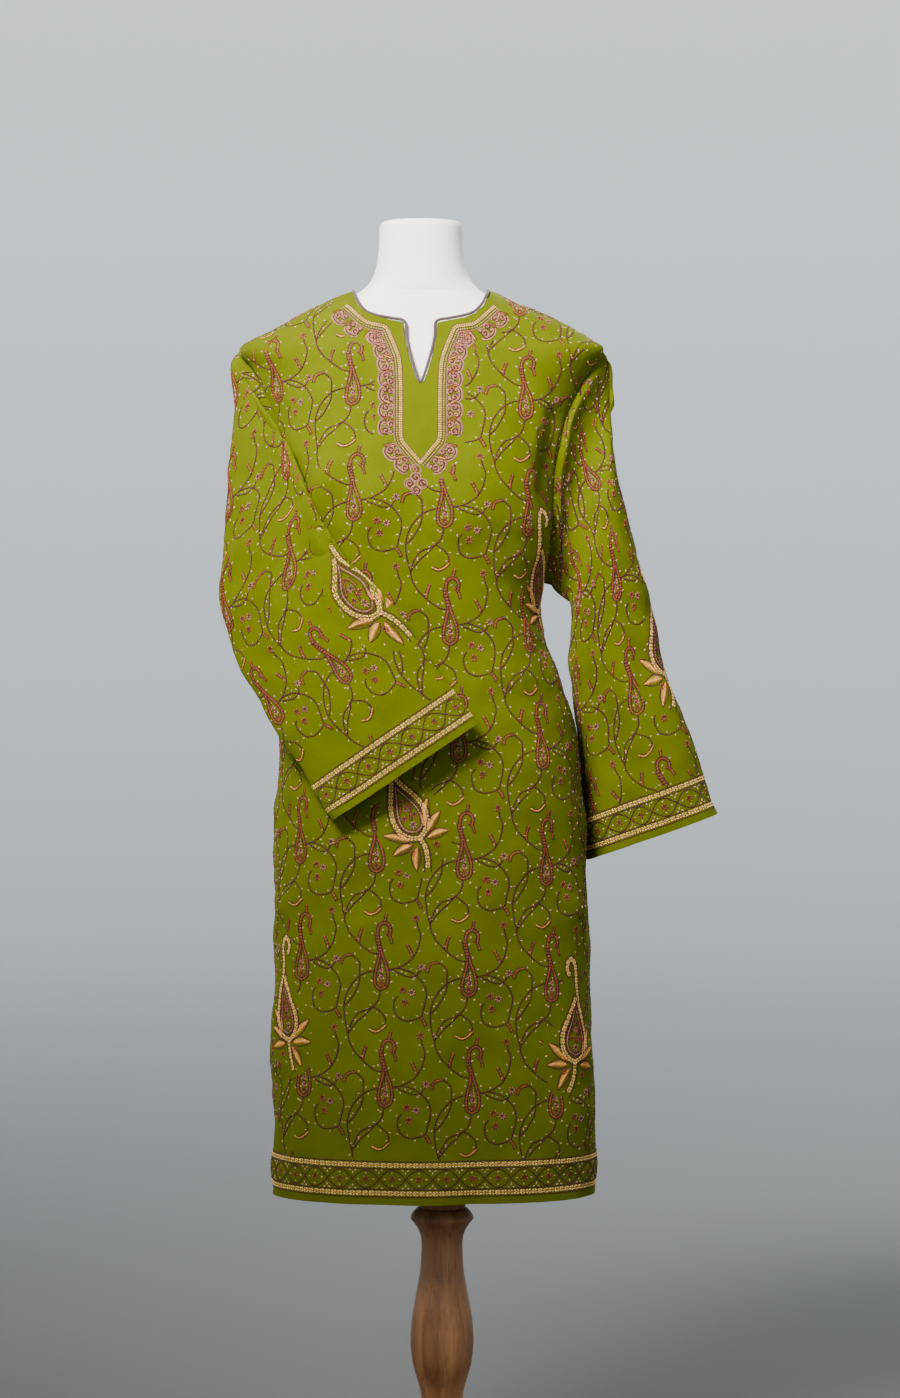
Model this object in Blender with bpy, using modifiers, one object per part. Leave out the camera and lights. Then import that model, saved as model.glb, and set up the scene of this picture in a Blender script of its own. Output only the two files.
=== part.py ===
"""A long embroidered wool pheran, standing on a limbless dress form with a turned wooden stand.

All sizes are in millimetres until a mesh is made. X runs across the garment, Y runs from its front
to its back, Z is up, and the origin is where the axis of the stand meets the floor.
The cloth is worked out as one welded skin of points, which is then cut along its seams into
the front, the back and the two sleeves, and each of these is given its thickness.
"""

import math
from collections import namedtuple

import bmesh
import bpy
import numpy as np
from mathutils import Vector
from mathutils.bvhtree import BVHTree

MM = 0.001

# Driving dimensions of the garment
CLOTH = 2.0  # thickness of the embroidered wool
SEAM_GAP = 0.3  # between two sewn pieces
HEM_Z = 387.0
UNDERARM_Z = 1085.0
SHOULDER_TIP_Z = 1351.0
SHOULDER_TIP_X = 209.0  # from the garment's middle
NECK_POINT_Z = 1420.0
NECK_POINT_X = 79.0
EDGE_RATIO = 0.999999  # a place this far across a ring counts as on its side edge
SEAM_FADE = 12  # exponent with which the front's folds die out towards its side seams
SHARPEST_DRAW = 0.35  # keeps a piece's sharp corners from being drawn in too far
SQUARENESS = 2.3  # exponent of the rings that carry the body of the cloth
ARMHOLE_HALF_GAP = 44.0  # the armhole's front and back edges, from its middle line
ARM_BLEND_T = 0.22  # share of a sleeve over which it leaves the shape of its armhole
SLEEVE_LIFT = 4.0  # between a sleeve and the body that it lies against
LIFT_ROUNDS = 4  # how often the lifting is repeated with its moves spread to their neighbours
EDGE_SLACK = 0.5  # a nearest point that lies further aside than this is on the body's edge
LEFT_STAND_OFF = 6.0  # how far a sleeve first stands straight out of its low armhole
RIGHT_STAND_OFF = 12.0
SEAM_LIFT = 8.0  # the same just past the armhole seam, where the cloth stands up in a fold

BodyRing = namedtuple("BodyRing", "height half_width front back middle_x")
BODY_RINGS = (
    BodyRing(387, 184, 119, 112, -10),
    BodyRing(600, 182, 118, 113, -11),
    BodyRing(715, 179, 117, 117, -12),
    BodyRing(800, 178, 121, 123, -13),
    BodyRing(898, 173, 117, 115, -15),
    BodyRing(969, 157, 113, 106, -17),
    BodyRing(1007, 141, 111, 102, -19),
    BodyRing(1052, 134, 112, 101, -21),
    BodyRing(1112, 144, 117, 104, -22),
    BodyRing(1169, 155, 121, 108, -23),
    BodyRing(1204, 159, 118, 110, -24),
    BodyRing(1250, 168, 110, 110, -24),
    BodyRing(1296, 180, 99, 104, -24),
    BodyRing(1330, 196, 90, 95, -24),
    BodyRing(1351, 209, 82, 87, -24),
    BodyRing(1362, 194, 77, 82, -24),
    BodyRing(1373, 177, 74, 78, -24),
    BodyRing(1390, 148, 68, 71, -24),
    BodyRing(1405, 114, 63, 65, -24),
    BodyRing(1420, 79, 58, 60, -24),
    BodyRing(1426, 66, 56, 58, -24),
)

# The bust, as two soft swells of the front
BUST_X = 78.0
BUST_Z = 1178.0
BUST_RISE = 11.0
BUST_WIDTH = 56.0
BUST_HEIGHT = 70.0

# Soft waves of the free skirt below the form: waves round the ring, height of the wave, turn
SkirtWave = namedtuple("SkirtWave", "count rise turn")
SKIRT_WAVES = (SkirtWave(3, 2.6, 0.4), SkirtWave(5, 2.2, 1.9), SkirtWave(8, 1.3, 0.7))
SKIRT_FREE_Z = 730.0

# Largest folds of the front: a ridge (or, below zero, a trough) along a line over the panel
Fold = namedtuple("Fold", "from_x from_z to_x to_z width rise")
FRONT_FOLDS = (
    Fold(-128, 1150, -92, 1232, 13, 8.0),
    Fold(-100, 1150, -66, 1215, 13, -5.0),
    Fold(168, 1290, 150, 1175, 14, -7.0),
    Fold(138, 1280, 128, 1190, 14, 4.0),
    Fold(-215, 708, -150, 736, 12, 3.5),
    Fold(215, 702, 152, 728, 12, 3.5),
    Fold(-168, 690, -160, 430, 10, 4.0),
)

# Where each panel's top edge runs: distance from the middle, height
EdgePoint = namedtuple("EdgePoint", "across height")
SHOULDER_ACROSS = (79.0, 101.0, 124.0, 147.0, 169.0, 190.0, 209.0)
FRONT_NECKLINE = (
    EdgePoint(0, 1306),
    EdgePoint(4, 1309),
    EdgePoint(8, 1319),
    EdgePoint(13, 1336),
    EdgePoint(18, 1360),
    EdgePoint(19.5, 1377),
    EdgePoint(34, 1380.5),
    EdgePoint(50, 1384),
    EdgePoint(62, 1389),
    EdgePoint(71, 1398.5),
    EdgePoint(76, 1408.5),
    EdgePoint(78.3, 1415),
)
BACK_NECKLINE = (
    EdgePoint(0, 1401),
    EdgePoint(20, 1401.5),
    EdgePoint(40, 1403),
    EdgePoint(58, 1406),
    EdgePoint(70, 1410.5),
    EdgePoint(76, 1414.5),
    EdgePoint(78.3, 1417.5),
)
PIPING_RADIUS = 1.7
PIPING_SET_OFF = 2.3  # from the panels' neck edge to the middle of the piping

# Rows of points up the body
LOW_ROWS = (HEM_Z, 440, 505, 575, 645, 700, 740, 800, 870, 940, 990, 1038, UNDERARM_Z)
ARM_ROWS = (1105, 1140, 1185, 1230, 1275)
TOP_ROW_COUNT = 7

# Sleeves. A section is an oval between its top point and its low point.
# front and back are its half depths, hump moves its front layer across the line from top to low.
SleeveSection = namedtuple(
    "SleeveSection", "along top_x top_y top_z low_x low_y low_z front back hump"
)
RIGHT_SLEEVE = (
    SleeveSection(0.00, -231, 0, 1351, -160, 0, 1085, 44, 44, 0),
    SleeveSection(0.05, -236, -4, 1328, -162, -40, 1090, 46, 40, 6),
    SleeveSection(0.12, -239, -9, 1285, -147, -84, 1100, 42, 32, 24),
    SleeveSection(0.22, -242, -12, 1233, -124, -108, 1103, 34, 26, 32),
    SleeveSection(0.32, -244, -16, 1180, -104, -120, 1098, 28, 22, 28),
    SleeveSection(0.42, -250, -20, 1117, -85, -128, 1085, 26, 20, 18),
    SleeveSection(0.52, -254, -28, 1062, -68, -133, 1067, 25, 19, 10),
    SleeveSection(0.62, -235, -44, 1003, -47, -137, 1046, 24, 18, 6),
    SleeveSection(0.74, -204, -72, 948, -18, -140, 1010, 22, 17, 3),
    SleeveSection(0.87, -164, -100, 880, 12, -141, 967, 20, 16, 0),
    SleeveSection(1.00, -119, -122, 818, 42, -139, 926, 20, 16, 0),
)
LEFT_SLEEVE = (
    SleeveSection(0.00, 185, 0, 1351, 118, 0, 1085, 44, 44, 0),
    SleeveSection(0.05, 191, 0, 1322, 126, 2, 1078, 24, 34, 0),
    SleeveSection(0.10, 194, 0, 1290, 136, 3, 1071, 20, 30, 0),
    SleeveSection(0.18, 196, -2, 1246, 148, 6, 1063, 40, 36, 0),
    SleeveSection(0.27, 203, -3, 1204, 151, 10, 1046, 50, 40, 0),
    SleeveSection(0.36, 214, -4, 1160, 148, 14, 1020, 50, 40, 0),
    SleeveSection(0.48, 227, -5, 1104, 146, 18, 984, 48, 40, 0),
    SleeveSection(0.60, 244, -6, 1037, 147, 24, 940, 46, 40, 0),
    SleeveSection(0.72, 263, -8, 965, 153, 30, 896, 46, 40, 0),
    SleeveSection(0.86, 290, -10, 887, 160, 34, 832, 47, 42, 0),
    SleeveSection(1.00, 316, -10, 821, 165, 36, 766, 48, 44, 0),
)
SLEEVE_ROWS = (
    0, 0.025, 0.05, 0.075, 0.105, 0.14, 0.18, 0.225, 0.275,
    0.33, 0.40, 0.47, 0.54, 0.62, 0.71, 0.80, 0.90, 1,
)  # fmt: skip
# Folds of a sleeve: place along it, turn round it in half turns, their widths, and the rise
SleeveFold = namedtuple("SleeveFold", "along around long wide rise")
RIGHT_FOLDS = (
    SleeveFold(0.53, 0.14, 0.03, 0.16, 6.0),
    SleeveFold(0.46, 0.22, 0.03, 0.14, -4.0),
)
LEFT_FOLDS = (
    SleeveFold(0.72, 0.60, 0.26, 0.09, -13.0),
    SleeveFold(0.60, 0.42, 0.30, 0.08, 5.0),
)
FOLD_ROUNDING = 0.75  # exponent that makes the ovals a little fuller than ellipses

# The dress form and its stand
FormRing = namedtuple("FormRing", "height half_width front back middle_x middle_y")
FORM_RINGS = (
    FormRing(712, 160, 98, 104, -12, 0),
    FormRing(716, 165, 103, 108, -12, 0),
    FormRing(760, 171, 110, 115, -13, 0),
    FormRing(810, 172, 114, 118, -13, 0),
    FormRing(880, 165, 110, 109, -15, 0),
    FormRing(950, 147, 100, 97, -17, 0),
    FormRing(1010, 129, 92, 90, -19, 0),
    FormRing(1055, 124, 92, 90, -21, 0),
    FormRing(1110, 133, 104, 97, -22, 0),
    FormRing(1165, 144, 112, 103, -23, 0),
    FormRing(1210, 148, 109, 105, -24, 0),
    FormRing(1255, 152, 101, 103, -24, 0),
    FormRing(1300, 163, 91, 96, -24, 0),
    FormRing(1330, 180, 82, 86, -24, 0),
)
FORM_SHOULDER_HEIGHTS = (1345, 1354, 1363, 1373, 1384, 1395, 1404, 1411)
FORM_DROP = 3.2  # the form's shoulders lie this far below the cloth's outer face
FORM_DEPTH_INSET = 4.5  # and this far inside it, front to back
FORM_TIP_Z = 1367.0  # below this the form's shoulders round off inside the cloth
FORM_SQUARENESS = 2.1
FORM_NECK = (
    FormRing(1417.5, 74, 55, 57, -24, 0),
    FormRing(1424, 64.5, 54, 55, -24, -1),
    FormRing(1437, 55, 51, 52, -24, -3),
    FormRing(1455, 50, 48.5, 49, -24, -5),
    FormRing(1478, 48, 47.5, 47.5, -24, -6),
    FormRing(1495, 47.5, 47, 47, -24, -6),
    FormRing(1498, 45, 44.5, 44.5, -24, -6),
)
FORM_AROUND = 36

TurnedPoint = namedtuple("TurnedPoint", "radius height")
POST_RADIUS = 27.0
POST_TOP_Z = 711.7
COLLAR_TOP_Z = 366.5
COLUMN_PROFILE = (
    TurnedPoint(29.5, 366.5),
    TurnedPoint(34.0, 361.5),
    TurnedPoint(36.4, 356),
    TurnedPoint(32.0, 350),
    TurnedPoint(27.0, 342),
    TurnedPoint(24.4, 334),
    TurnedPoint(23.6, 325),
    TurnedPoint(24.4, 304),
    TurnedPoint(29.4, 271),
    TurnedPoint(34.8, 239),
    TurnedPoint(36.4, 216),
    TurnedPoint(34.2, 191),
    TurnedPoint(30.0, 175),
    TurnedPoint(26.0, 161),
    TurnedPoint(24.0, 149),
    TurnedPoint(24.5, 120),
    TurnedPoint(27.0, 90),
    TurnedPoint(33.0, 62),
    TurnedPoint(43.0, 42),
    TurnedPoint(47.0, 34),
    TurnedPoint(47.0, 26.3),
)
BASE_RADIUS = 190.0
BASE_HEIGHT = 26.0
BASE_ROUNDING = 5.0
TURNED_STEPS = 28

# Colours: red, green, blue, then roughness
FINISHES = {
    "wool": (0.27, 0.34, 0.012, 0.85),
    "piping": (0.16, 0.075, 0.06, 0.7),
    "form_cover": (0.80, 0.78, 0.74, 0.8),
    "wood": (0.33, 0.18, 0.09, 0.45),
}


def clear_scene():
    for thing in list(bpy.data.objects):
        bpy.data.objects.remove(thing, do_unlink=True)


def smooth_through(knots, values, at):
    """A curve through the knots that never swings past them."""
    knots = np.asarray(knots, float)
    values = np.asarray(values, float)
    steps = np.diff(knots)
    slopes = np.diff(values) / steps
    bends = np.zeros_like(values)
    same_way = slopes[:-1] * slopes[1:] > 0
    before = 2 * steps[1:] + steps[:-1]
    after = steps[1:] + 2 * steps[:-1]
    safe = np.where(same_way, slopes[:-1] * slopes[1:], 1.0)
    mixed = (before + after) * safe / (before * slopes[1:] + after * slopes[:-1] + 1e-12)
    bends[1:-1] = np.where(same_way, mixed, 0.0)
    bends[0] = slopes[0]
    bends[-1] = slopes[-1]
    at = np.clip(np.asarray(at, float), knots[0], knots[-1])
    span = np.clip(np.searchsorted(knots, at, side="right") - 1, 0, len(steps) - 1)
    u = (at - knots[span]) / steps[span]
    rise = steps[span]
    return (
        values[span] * (1 + 2 * u) * (1 - u) ** 2
        + bends[span] * rise * u * (1 - u) ** 2
        + values[span + 1] * u * u * (3 - 2 * u)
        + bends[span + 1] * rise * u * u * (u - 1)
    )


def column(table, name):
    return [getattr(row, name) for row in table]


def read_table(table, key, name, at):
    return smooth_through(column(table, key), column(table, name), at)


def soft_step(low, high, at):
    u = np.clip((np.asarray(at, float) - low) / (high - low), 0, 1)
    return u * u * (3 - 2 * u)


def armhole_gap(height):
    """How far the armhole's front and back edges stand from its middle line."""
    u = np.clip((height - UNDERARM_Z) / (SHOULDER_TIP_Z - UNDERARM_Z), 0, 1)
    return ARMHOLE_HALF_GAP * np.sin(math.pi * u) ** 0.7


def edge_turn(height, depth):
    """Angle on the ring, from the side, at which a panel ends."""
    share = np.clip(armhole_gap(height) / depth, 0, 1)
    return np.arcsin(share ** (SQUARENESS / 2))


def on_ring(half_width, depth, turn):
    across = half_width * np.clip(np.cos(turn), 0, 1) ** (2 / SQUARENESS)
    forward = depth * np.clip(np.sin(turn), 0, 1) ** (2 / SQUARENESS)
    return across, forward


def turn_by_length(height, depth_name):
    """Angles at equal lengths of cloth, from the middle of a panel to its edge."""
    samples = 160
    half_width = read_table(BODY_RINGS, "height", "half_width", height)
    depth = read_table(BODY_RINGS, "height", depth_name, height)
    turns = np.linspace(math.pi / 2, float(edge_turn(height, depth)), samples)
    across, forward = on_ring(half_width, depth, turns)
    lengths = np.concatenate(([0], np.cumsum(np.hypot(np.diff(across), np.diff(forward)))))
    shares = np.linspace(0, 1, 41)
    return np.interp(shares * lengths[-1], lengths, turns), lengths[-1]


class Panel:
    """The front or the back of the body, as a smooth surface over across and height."""

    def __init__(self, side):
        self.side = side  # -1 for the front, 1 for the back
        self.depth_name = "front" if side < 0 else "back"
        self.heights = np.unique(np.append(np.linspace(HEM_Z, SHOULDER_TIP_Z, 120), UNDERARM_Z))
        rows = [turn_by_length(h, self.depth_name) for h in self.heights]
        self.turns = np.array([row[0] for row in rows])
        self.lengths = np.array([row[1] for row in rows])

    def turn(self, across, height):
        """across runs from -1 to 1 between the panel's side edges."""
        share = abs(across)
        low = min(height, SHOULDER_TIP_Z)
        row = int(np.searchsorted(self.heights, low, side="right")) - 1
        row = min(row, len(self.heights) - 2)
        mix = (low - self.heights[row]) / (self.heights[row + 1] - self.heights[row])
        columns = np.linspace(0, 1, self.turns.shape[1])
        here = np.interp(share, columns, self.turns[row])
        above = np.interp(share, columns, self.turns[row + 1])
        by_length = here * (1 - mix) + above * mix
        half_width = float(read_table(BODY_RINGS, "height", "half_width", height))
        edge_x = SHOULDER_TIP_X
        if height < SHOULDER_TIP_Z:
            depth = float(read_table(BODY_RINGS, "height", self.depth_name, height))
            edge_x = float(on_ring(half_width, depth, edge_turn(height, depth))[0])
        ratio = share * edge_x / half_width
        upright = 0.0 if ratio > EDGE_RATIO else math.acos(ratio ** (SQUARENESS / 2))
        weight = float(soft_step(1250, SHOULDER_TIP_Z, height))
        return by_length * (1 - weight) + upright * weight

    def point(self, across, height):
        half_width = float(read_table(BODY_RINGS, "height", "half_width", height))
        depth = float(read_table(BODY_RINGS, "height", self.depth_name, height))
        middle = float(read_table(BODY_RINGS, "height", "middle_x", height))
        turn = self.turn(across, height)
        x, y = on_ring(half_width, depth, turn)
        x = float(x) * (1 if across >= 0 else -1)
        y = float(y) * self.side
        out = self.relief(across, height, x, y)
        outward_x = math.cos(turn) * (1 if across >= 0 else -1)
        outward_y = math.sin(turn) * self.side
        return np.array((middle + x + out * outward_x, y + out * outward_y, height))

    def relief(self, across, height, x, y):
        """How far the folds, the bust and the waves of the skirt lift the cloth."""
        around = math.atan2(y, x)
        free = float(soft_step(SKIRT_FREE_Z, HEM_Z, height))
        out = free * sum(w.rise * math.cos(w.count * around + w.turn) for w in SKIRT_WAVES)
        if self.side > 0:
            return out
        place = abs(x) - BUST_X
        rise = (height - BUST_Z) / BUST_HEIGHT
        shape = BUST_RISE * math.exp(-((place / BUST_WIDTH) ** 2) - rise**2)
        flat_x = across * float(np.interp(height, self.heights, self.lengths))
        shape += sum(fold_rise(fold, flat_x, height) for fold in FRONT_FOLDS)
        return out + shape * (1 - abs(across) ** SEAM_FADE)


def fold_rise(fold, x, z):
    """A soft ridge along a line, fading towards both of its ends."""
    run = np.array((fold.to_x - fold.from_x, fold.to_z - fold.from_z), float)
    place = np.array((x - fold.from_x, z - fold.from_z), float)
    along = float(place @ run / (run @ run))
    off = place - np.clip(along, 0, 1) * run
    fade = math.sin(math.pi * min(max(along, 0.02), 0.98)) ** 0.5
    return fold.rise * fade * math.exp(-float(off @ off) / fold.width**2)


def shoulder_line():
    """The shoulder seam: where the rings are just as wide as the place across."""
    heights = np.linspace(SHOULDER_TIP_Z, BODY_RINGS[-1].height, 400)
    widths = read_table(BODY_RINGS, "height", "half_width", heights)
    return tuple(EdgePoint(x, float(np.interp(-x, -widths, heights))) for x in SHOULDER_ACROSS)


def top_edge(table, across_mm):
    line = table + shoulder_line()
    return float(np.interp(across_mm, column(line, "across"), column(line, "height")))


def panel_columns(neckline):
    """Distances from the middle at which a panel has a column of points."""
    half = column(neckline, "across") + list(SHOULDER_ACROSS)
    return [-x for x in reversed(half) if x > 0] + list(half)


def panel_grid(panel, neckline):
    """Rows of points of a panel, from its hem to its top edge."""
    columns = panel_columns(neckline)
    rows = [
        [panel.point(x / SHOULDER_TIP_X, float(z)) for x in columns] for z in LOW_ROWS + ARM_ROWS
    ]
    last = float(ARM_ROWS[-1])
    for step in range(1, TOP_ROW_COUNT + 1):
        share = math.sin(step / TOP_ROW_COUNT * math.pi / 2)
        row = []
        for x in columns:
            top = top_edge(neckline, abs(x))
            row.append(panel.point(x / SHOULDER_TIP_X, last + (top - last) * share))
        rows.append(row)
    return rows


def grid_faces(points, faces, rows, flip):
    """Adds a grid's points and its four-sided faces to the two lists."""
    width = len(rows[0])
    start = len(points)
    points += [Vector(p) for row in rows for p in row]
    for i in range(len(rows) - 1):
        for j in range(width - 1):
            low = start + i * width + j
            face = (low, low + 1, low + width + 1, low + width)
            faces.append(face[::-1] if flip else face)


def body_tree(front_rows, back_rows):
    """The body with its armholes closed, for finding what a sleeve lies against."""
    points = []
    faces = []
    grid_faces(points, faces, front_rows, False)
    grid_faces(points, faces, back_rows, True)
    first = len(LOW_ROWS) - 1
    for edge in (0, -1):
        sign = 1 if edge else -1
        rows = []
        for front_row, back_row in zip(front_rows[first:], back_rows[first:]):
            height = front_row[edge][2]
            half_width = float(read_table(BODY_RINGS, "height", "half_width", height))
            middle = float(read_table(BODY_RINGS, "height", "middle_x", height))
            outermost = np.array((middle + sign * half_width, 0, height))
            rows.append((front_row[edge], outermost, back_row[edge]))
        grid_faces(points, faces, rows, sign < 0)
    return BVHTree.FromPolygons(points, faces)


def lifted(point, tree, least):
    """A point of a sleeve, moved out of the body's cloth where it lies over it."""
    found, normal, _, _ = tree.find_nearest(Vector(point))
    off = Vector(point) - found
    height = off.dot(normal)
    over_an_edge = (off - height * normal).length > EDGE_SLACK
    if over_an_edge or height >= least:
        return point
    return np.array(Vector(point) + (least - height) * normal)


def sleeve_point(sections, folds, along, around):
    """A point of a sleeve: around is in half turns, 0 at the top, 0.5 in front, 1 below."""
    read = {
        name: float(read_table(sections, "along", name, along))
        for name in SleeveSection._fields[1:]
    }
    top = np.array((read["top_x"], read["top_y"], read["top_z"]))
    low = np.array((read["low_x"], read["low_y"], read["low_z"]))
    turn = around * math.pi
    middle = (top + low) / 2
    point = middle + (top - low) / 2 * math.cos(turn)
    bulge = abs(math.sin(turn)) ** FOLD_ROUNDING
    if math.sin(turn) >= 0:
        rise = sum(
            f.rise * math.exp(-(((along - f.along) / f.long) ** 2) - ((around - f.around) / f.wide) ** 2)
            for f in folds
        )
        point[1] -= read["front"] * bulge + rise * math.sin(turn)
        across = np.array((abs(top[2] - low[2]), 0, abs(top[0] - low[0])))
        across /= np.linalg.norm(across)
        if sections is LEFT_SLEEVE:
            across[0] = -across[0]
        point += across * read["hump"] * math.sin(turn) ** 2
    else:
        point[1] += read["back"] * bulge
    return point


def stood_off(point, first, along, around, stand_off):
    """A point near the low armhole, drawn to where the cloth first stands straight out."""
    low_share = float(soft_step(0.0, 0.3, min(around, 2 - around)))
    share = (1 - float(soft_step(0.0, 0.17, along))) * low_share
    half_width = float(read_table(BODY_RINGS, "height", "half_width", first[2]))
    depth = float(read_table(BODY_RINGS, "height", "front", first[2]))
    middle = float(read_table(BODY_RINGS, "height", "middle_x", first[2]))
    out = np.array(((first[0] - middle) / half_width**2, first[1] / depth**2, 0))
    stand = first + out / np.linalg.norm(out) * stand_off * min(1.0, along / 0.05)
    return point * (1 - share) + stand * share


def sleeve_grid(sections, folds, armhole, tree, stand_off):
    """Rings of points from the armhole's own points to the cuff."""
    count = len(armhole)
    turns = [2 * j / count for j in range(count)]
    start = [sleeve_point(sections, folds, 0, around) for around in turns]
    free = []
    for along in SLEEVE_ROWS:
        keep = 1 - float(soft_step(0, ARM_BLEND_T, along))
        ring = []
        for around, own, first in zip(turns, start, armhole):
            point = sleeve_point(sections, folds, along, around) + (first - own) * keep
            ring.append(stood_off(point, first, along, around, stand_off))
        free.append(ring)
    free = np.array(free)
    rings = free
    for _ in range(LIFT_ROUNDS):
        out = rings.copy()
        for i, along in enumerate(SLEEVE_ROWS[1:], start=1):
            near = float(soft_step(0.05, 0.2, along))
            least = SEAM_LIFT + (SLEEVE_LIFT - SEAM_LIFT) * near
            for j in range(count):
                out[i, j] = lifted(rings[i, j], tree, least)
        moves = out - free
        moves[0] = 0
        around = (np.roll(moves, 1, axis=1) + 2 * moves + np.roll(moves, -1, axis=1)) / 4
        above = np.concatenate((around[:1], around[:-1]))
        below = np.concatenate((around[1:], around[-1:]))
        spread = (above + 2 * around + below) / 4
        spread[0] = 0
        rings = free + spread
    for i, along in enumerate(SLEEVE_ROWS[1:], start=1):
        for j in range(count):
            rings[i, j] = lifted(rings[i, j], tree, SLEEVE_LIFT)
    return [list(ring) for ring in rings]


class Skin:
    """Welded points and the faces of each piece that is cut from them."""

    def __init__(self):
        self.points = []
        self.known = {}
        self.faces = {}

    def index(self, point):
        key = tuple(round(float(v), 3) for v in point)
        if key not in self.known:
            self.known[key] = len(self.points)
            self.points.append(np.asarray(point, float))
        return self.known[key]

    def add_grid(self, name, rows, closed=False, flip=False):
        """Faces of a piece between its rows of points."""
        ids = [[self.index(p) for p in row] for row in rows]
        width = len(ids[0])
        made = self.faces.setdefault(name, [])
        for low, high in zip(ids, ids[1:]):
            for j in range(width if closed else width - 1):
                k = (j + 1) % width
                face = [low[j], low[k], high[k], high[j]]
                face = list(dict.fromkeys(face))
                if len(face) > 2:
                    made.append(face[::-1] if flip else face)

    def normals(self):
        """Outward directions, averaged over every face that meets at a point."""
        total = np.zeros((len(self.points), 3))
        points = np.array(self.points)
        for faces in self.faces.values():
            for face in faces:
                corners = points[face]
                area = np.zeros(3)
                for a, b in zip(corners, np.roll(corners, -1, axis=0)):
                    area += np.cross(a, b)
                total[face] += area
        return total / np.linalg.norm(total, axis=1)[:, None]


def boundary_runs(faces):
    """Directed edges of a piece that only one of its faces has."""
    edges = {(a, b) for f in faces for a, b in zip(f, f[1:] + f[:1])}
    return [(a, b) for a, b in edges if (b, a) not in edges]


def drawn_in(points, normals, runs):
    """The piece's own points, with its edges moved half a seam gap into the piece."""
    moved = points.copy()
    inward = {}
    for a, b in runs:
        for end in (a, b):
            into = np.cross(normals[end], points[b] - points[a])
            inward.setdefault(end, []).append(into / np.linalg.norm(into))
    for end, directions in inward.items():
        mean = np.sum(directions, axis=0)
        mean /= np.linalg.norm(mean)
        spread = max(SHARPEST_DRAW, float(mean @ directions[0]))
        moved[end] = points[end] + mean * (SEAM_GAP / 2) / spread
    return moved


def finish_of(name):
    made = bpy.data.materials.get(name)
    if made is None:
        red, green, blue, roughness = FINISHES[name]
        made = bpy.data.materials.new(name)
        made.use_nodes = True
        shader = made.node_tree.nodes["Principled BSDF"]
        shader.inputs["Base Color"].default_value = (red, green, blue, 1)
        shader.inputs["Roughness"].default_value = roughness
        shader.inputs["Metallic"].default_value = 0.0
    return made


def add_object(name, data, finish, collection):
    made = bpy.data.objects.new(name, data)
    collection.objects.link(made)
    data.materials.append(finish_of(finish))
    return made


def add_mesh(name, points, faces, finish, collection):
    mesh = bpy.data.meshes.new(name)
    mesh.from_pydata([tuple(p * MM) for p in points], [], faces)
    mesh.validate()
    mesh.shade_smooth()
    mesh.set_sharp_from_angle(angle=math.radians(50))
    return add_object(name, mesh, finish, collection)


def rim_faces(a, b, count, from_first):
    """A stretch of rim as two triangles, split the same way on both sides of a seam."""
    if from_first:
        return [[b, a, b + count], [a, a + count, b + count]]
    return [[b, a, a + count], [b, a + count, b + count]]


def add_cloth(name, skin, normals, collection):
    """A piece of cloth: its outer face, its inner face and the rims that join them."""
    faces = skin.faces[name]
    points = np.array(skin.points)
    runs = boundary_runs(faces)
    outer = drawn_in(points, normals, runs)
    used = sorted({i for face in faces for i in face})
    place = {old: new for new, old in enumerate(used)}
    count = len(used)
    both = np.concatenate([outer[used], outer[used] - CLOTH * normals[used]])
    made = [[place[i] for i in face] for face in faces]
    made += [[place[i] + count for i in reversed(face)] for face in faces]
    for a, b in runs:
        made += rim_faces(place[a], place[b], count, a < b)
    return add_mesh(name, both, made, "wool", collection)


def neck_path(front, back):
    """The line of the piping, round the slit, the neckline and the back of the neck."""
    half = [(p.across, p.height) for p in FRONT_NECKLINE] + [(NECK_POINT_X, NECK_POINT_Z)]
    line = [(-x, z) for x, z in reversed(half) if x > 0] + half
    path = []
    for x, z in set_off(line, PIPING_SET_OFF):
        path.append(front.point(x / SHOULDER_TIP_X, z))
    half = [(p.across, p.height) for p in BACK_NECKLINE]
    line = [(x, z) for x, z in reversed(half)] + [(-x, z) for x, z in half if x > 0]
    for x, z in set_off(line, -PIPING_SET_OFF):
        path.append(back.point(x / SHOULDER_TIP_X, z))
    return path


def set_off(line, distance):
    """A line in the panel's own plane, moved sideways towards the neck."""
    moved = []
    for i, (x, z) in enumerate(line):
        before = line[max(i - 1, 0)]
        after = line[min(i + 1, len(line) - 1)]
        run = np.array((after[0] - before[0], after[1] - before[1]), float)
        run /= np.linalg.norm(run)
        moved.append((x - run[1] * distance, z + run[0] * distance))
    return moved


def add_piping(front, back, collection):
    path = neck_path(front, back)
    curve = bpy.data.curves.new("neck_piping", "CURVE")
    curve.dimensions = "3D"
    curve.bevel_depth = PIPING_RADIUS * MM
    curve.bevel_resolution = 1
    spline = curve.splines.new("POLY")
    spline.points.add(len(path) - 1)
    for place, point in zip(spline.points, path):
        place.co = (*(point * MM), 1)
    spline.use_cyclic_u = True
    return add_object("neck_piping", curve, "piping", collection)


def form_ring(ring):
    """Points round the dress form at one height."""
    points = []
    for step in range(FORM_AROUND):
        turn = 2 * math.pi * step / FORM_AROUND
        depth = ring.front if math.sin(turn) < 0 else ring.back
        fullness = 2 / FORM_SQUARENESS
        x = ring.half_width * math.copysign(abs(math.cos(turn)) ** fullness, math.cos(turn))
        y = depth * math.copysign(abs(math.sin(turn)) ** fullness, math.sin(turn))
        if y < 0:
            place = (abs(x) - BUST_X) / BUST_WIDTH
            rise = (ring.height - BUST_Z) / BUST_HEIGHT
            y -= BUST_RISE * math.exp(-(place**2) - rise**2) * abs(math.sin(turn))
        points.append(np.array((ring.middle_x + x, ring.middle_y + y, ring.height)))
    return points


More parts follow.
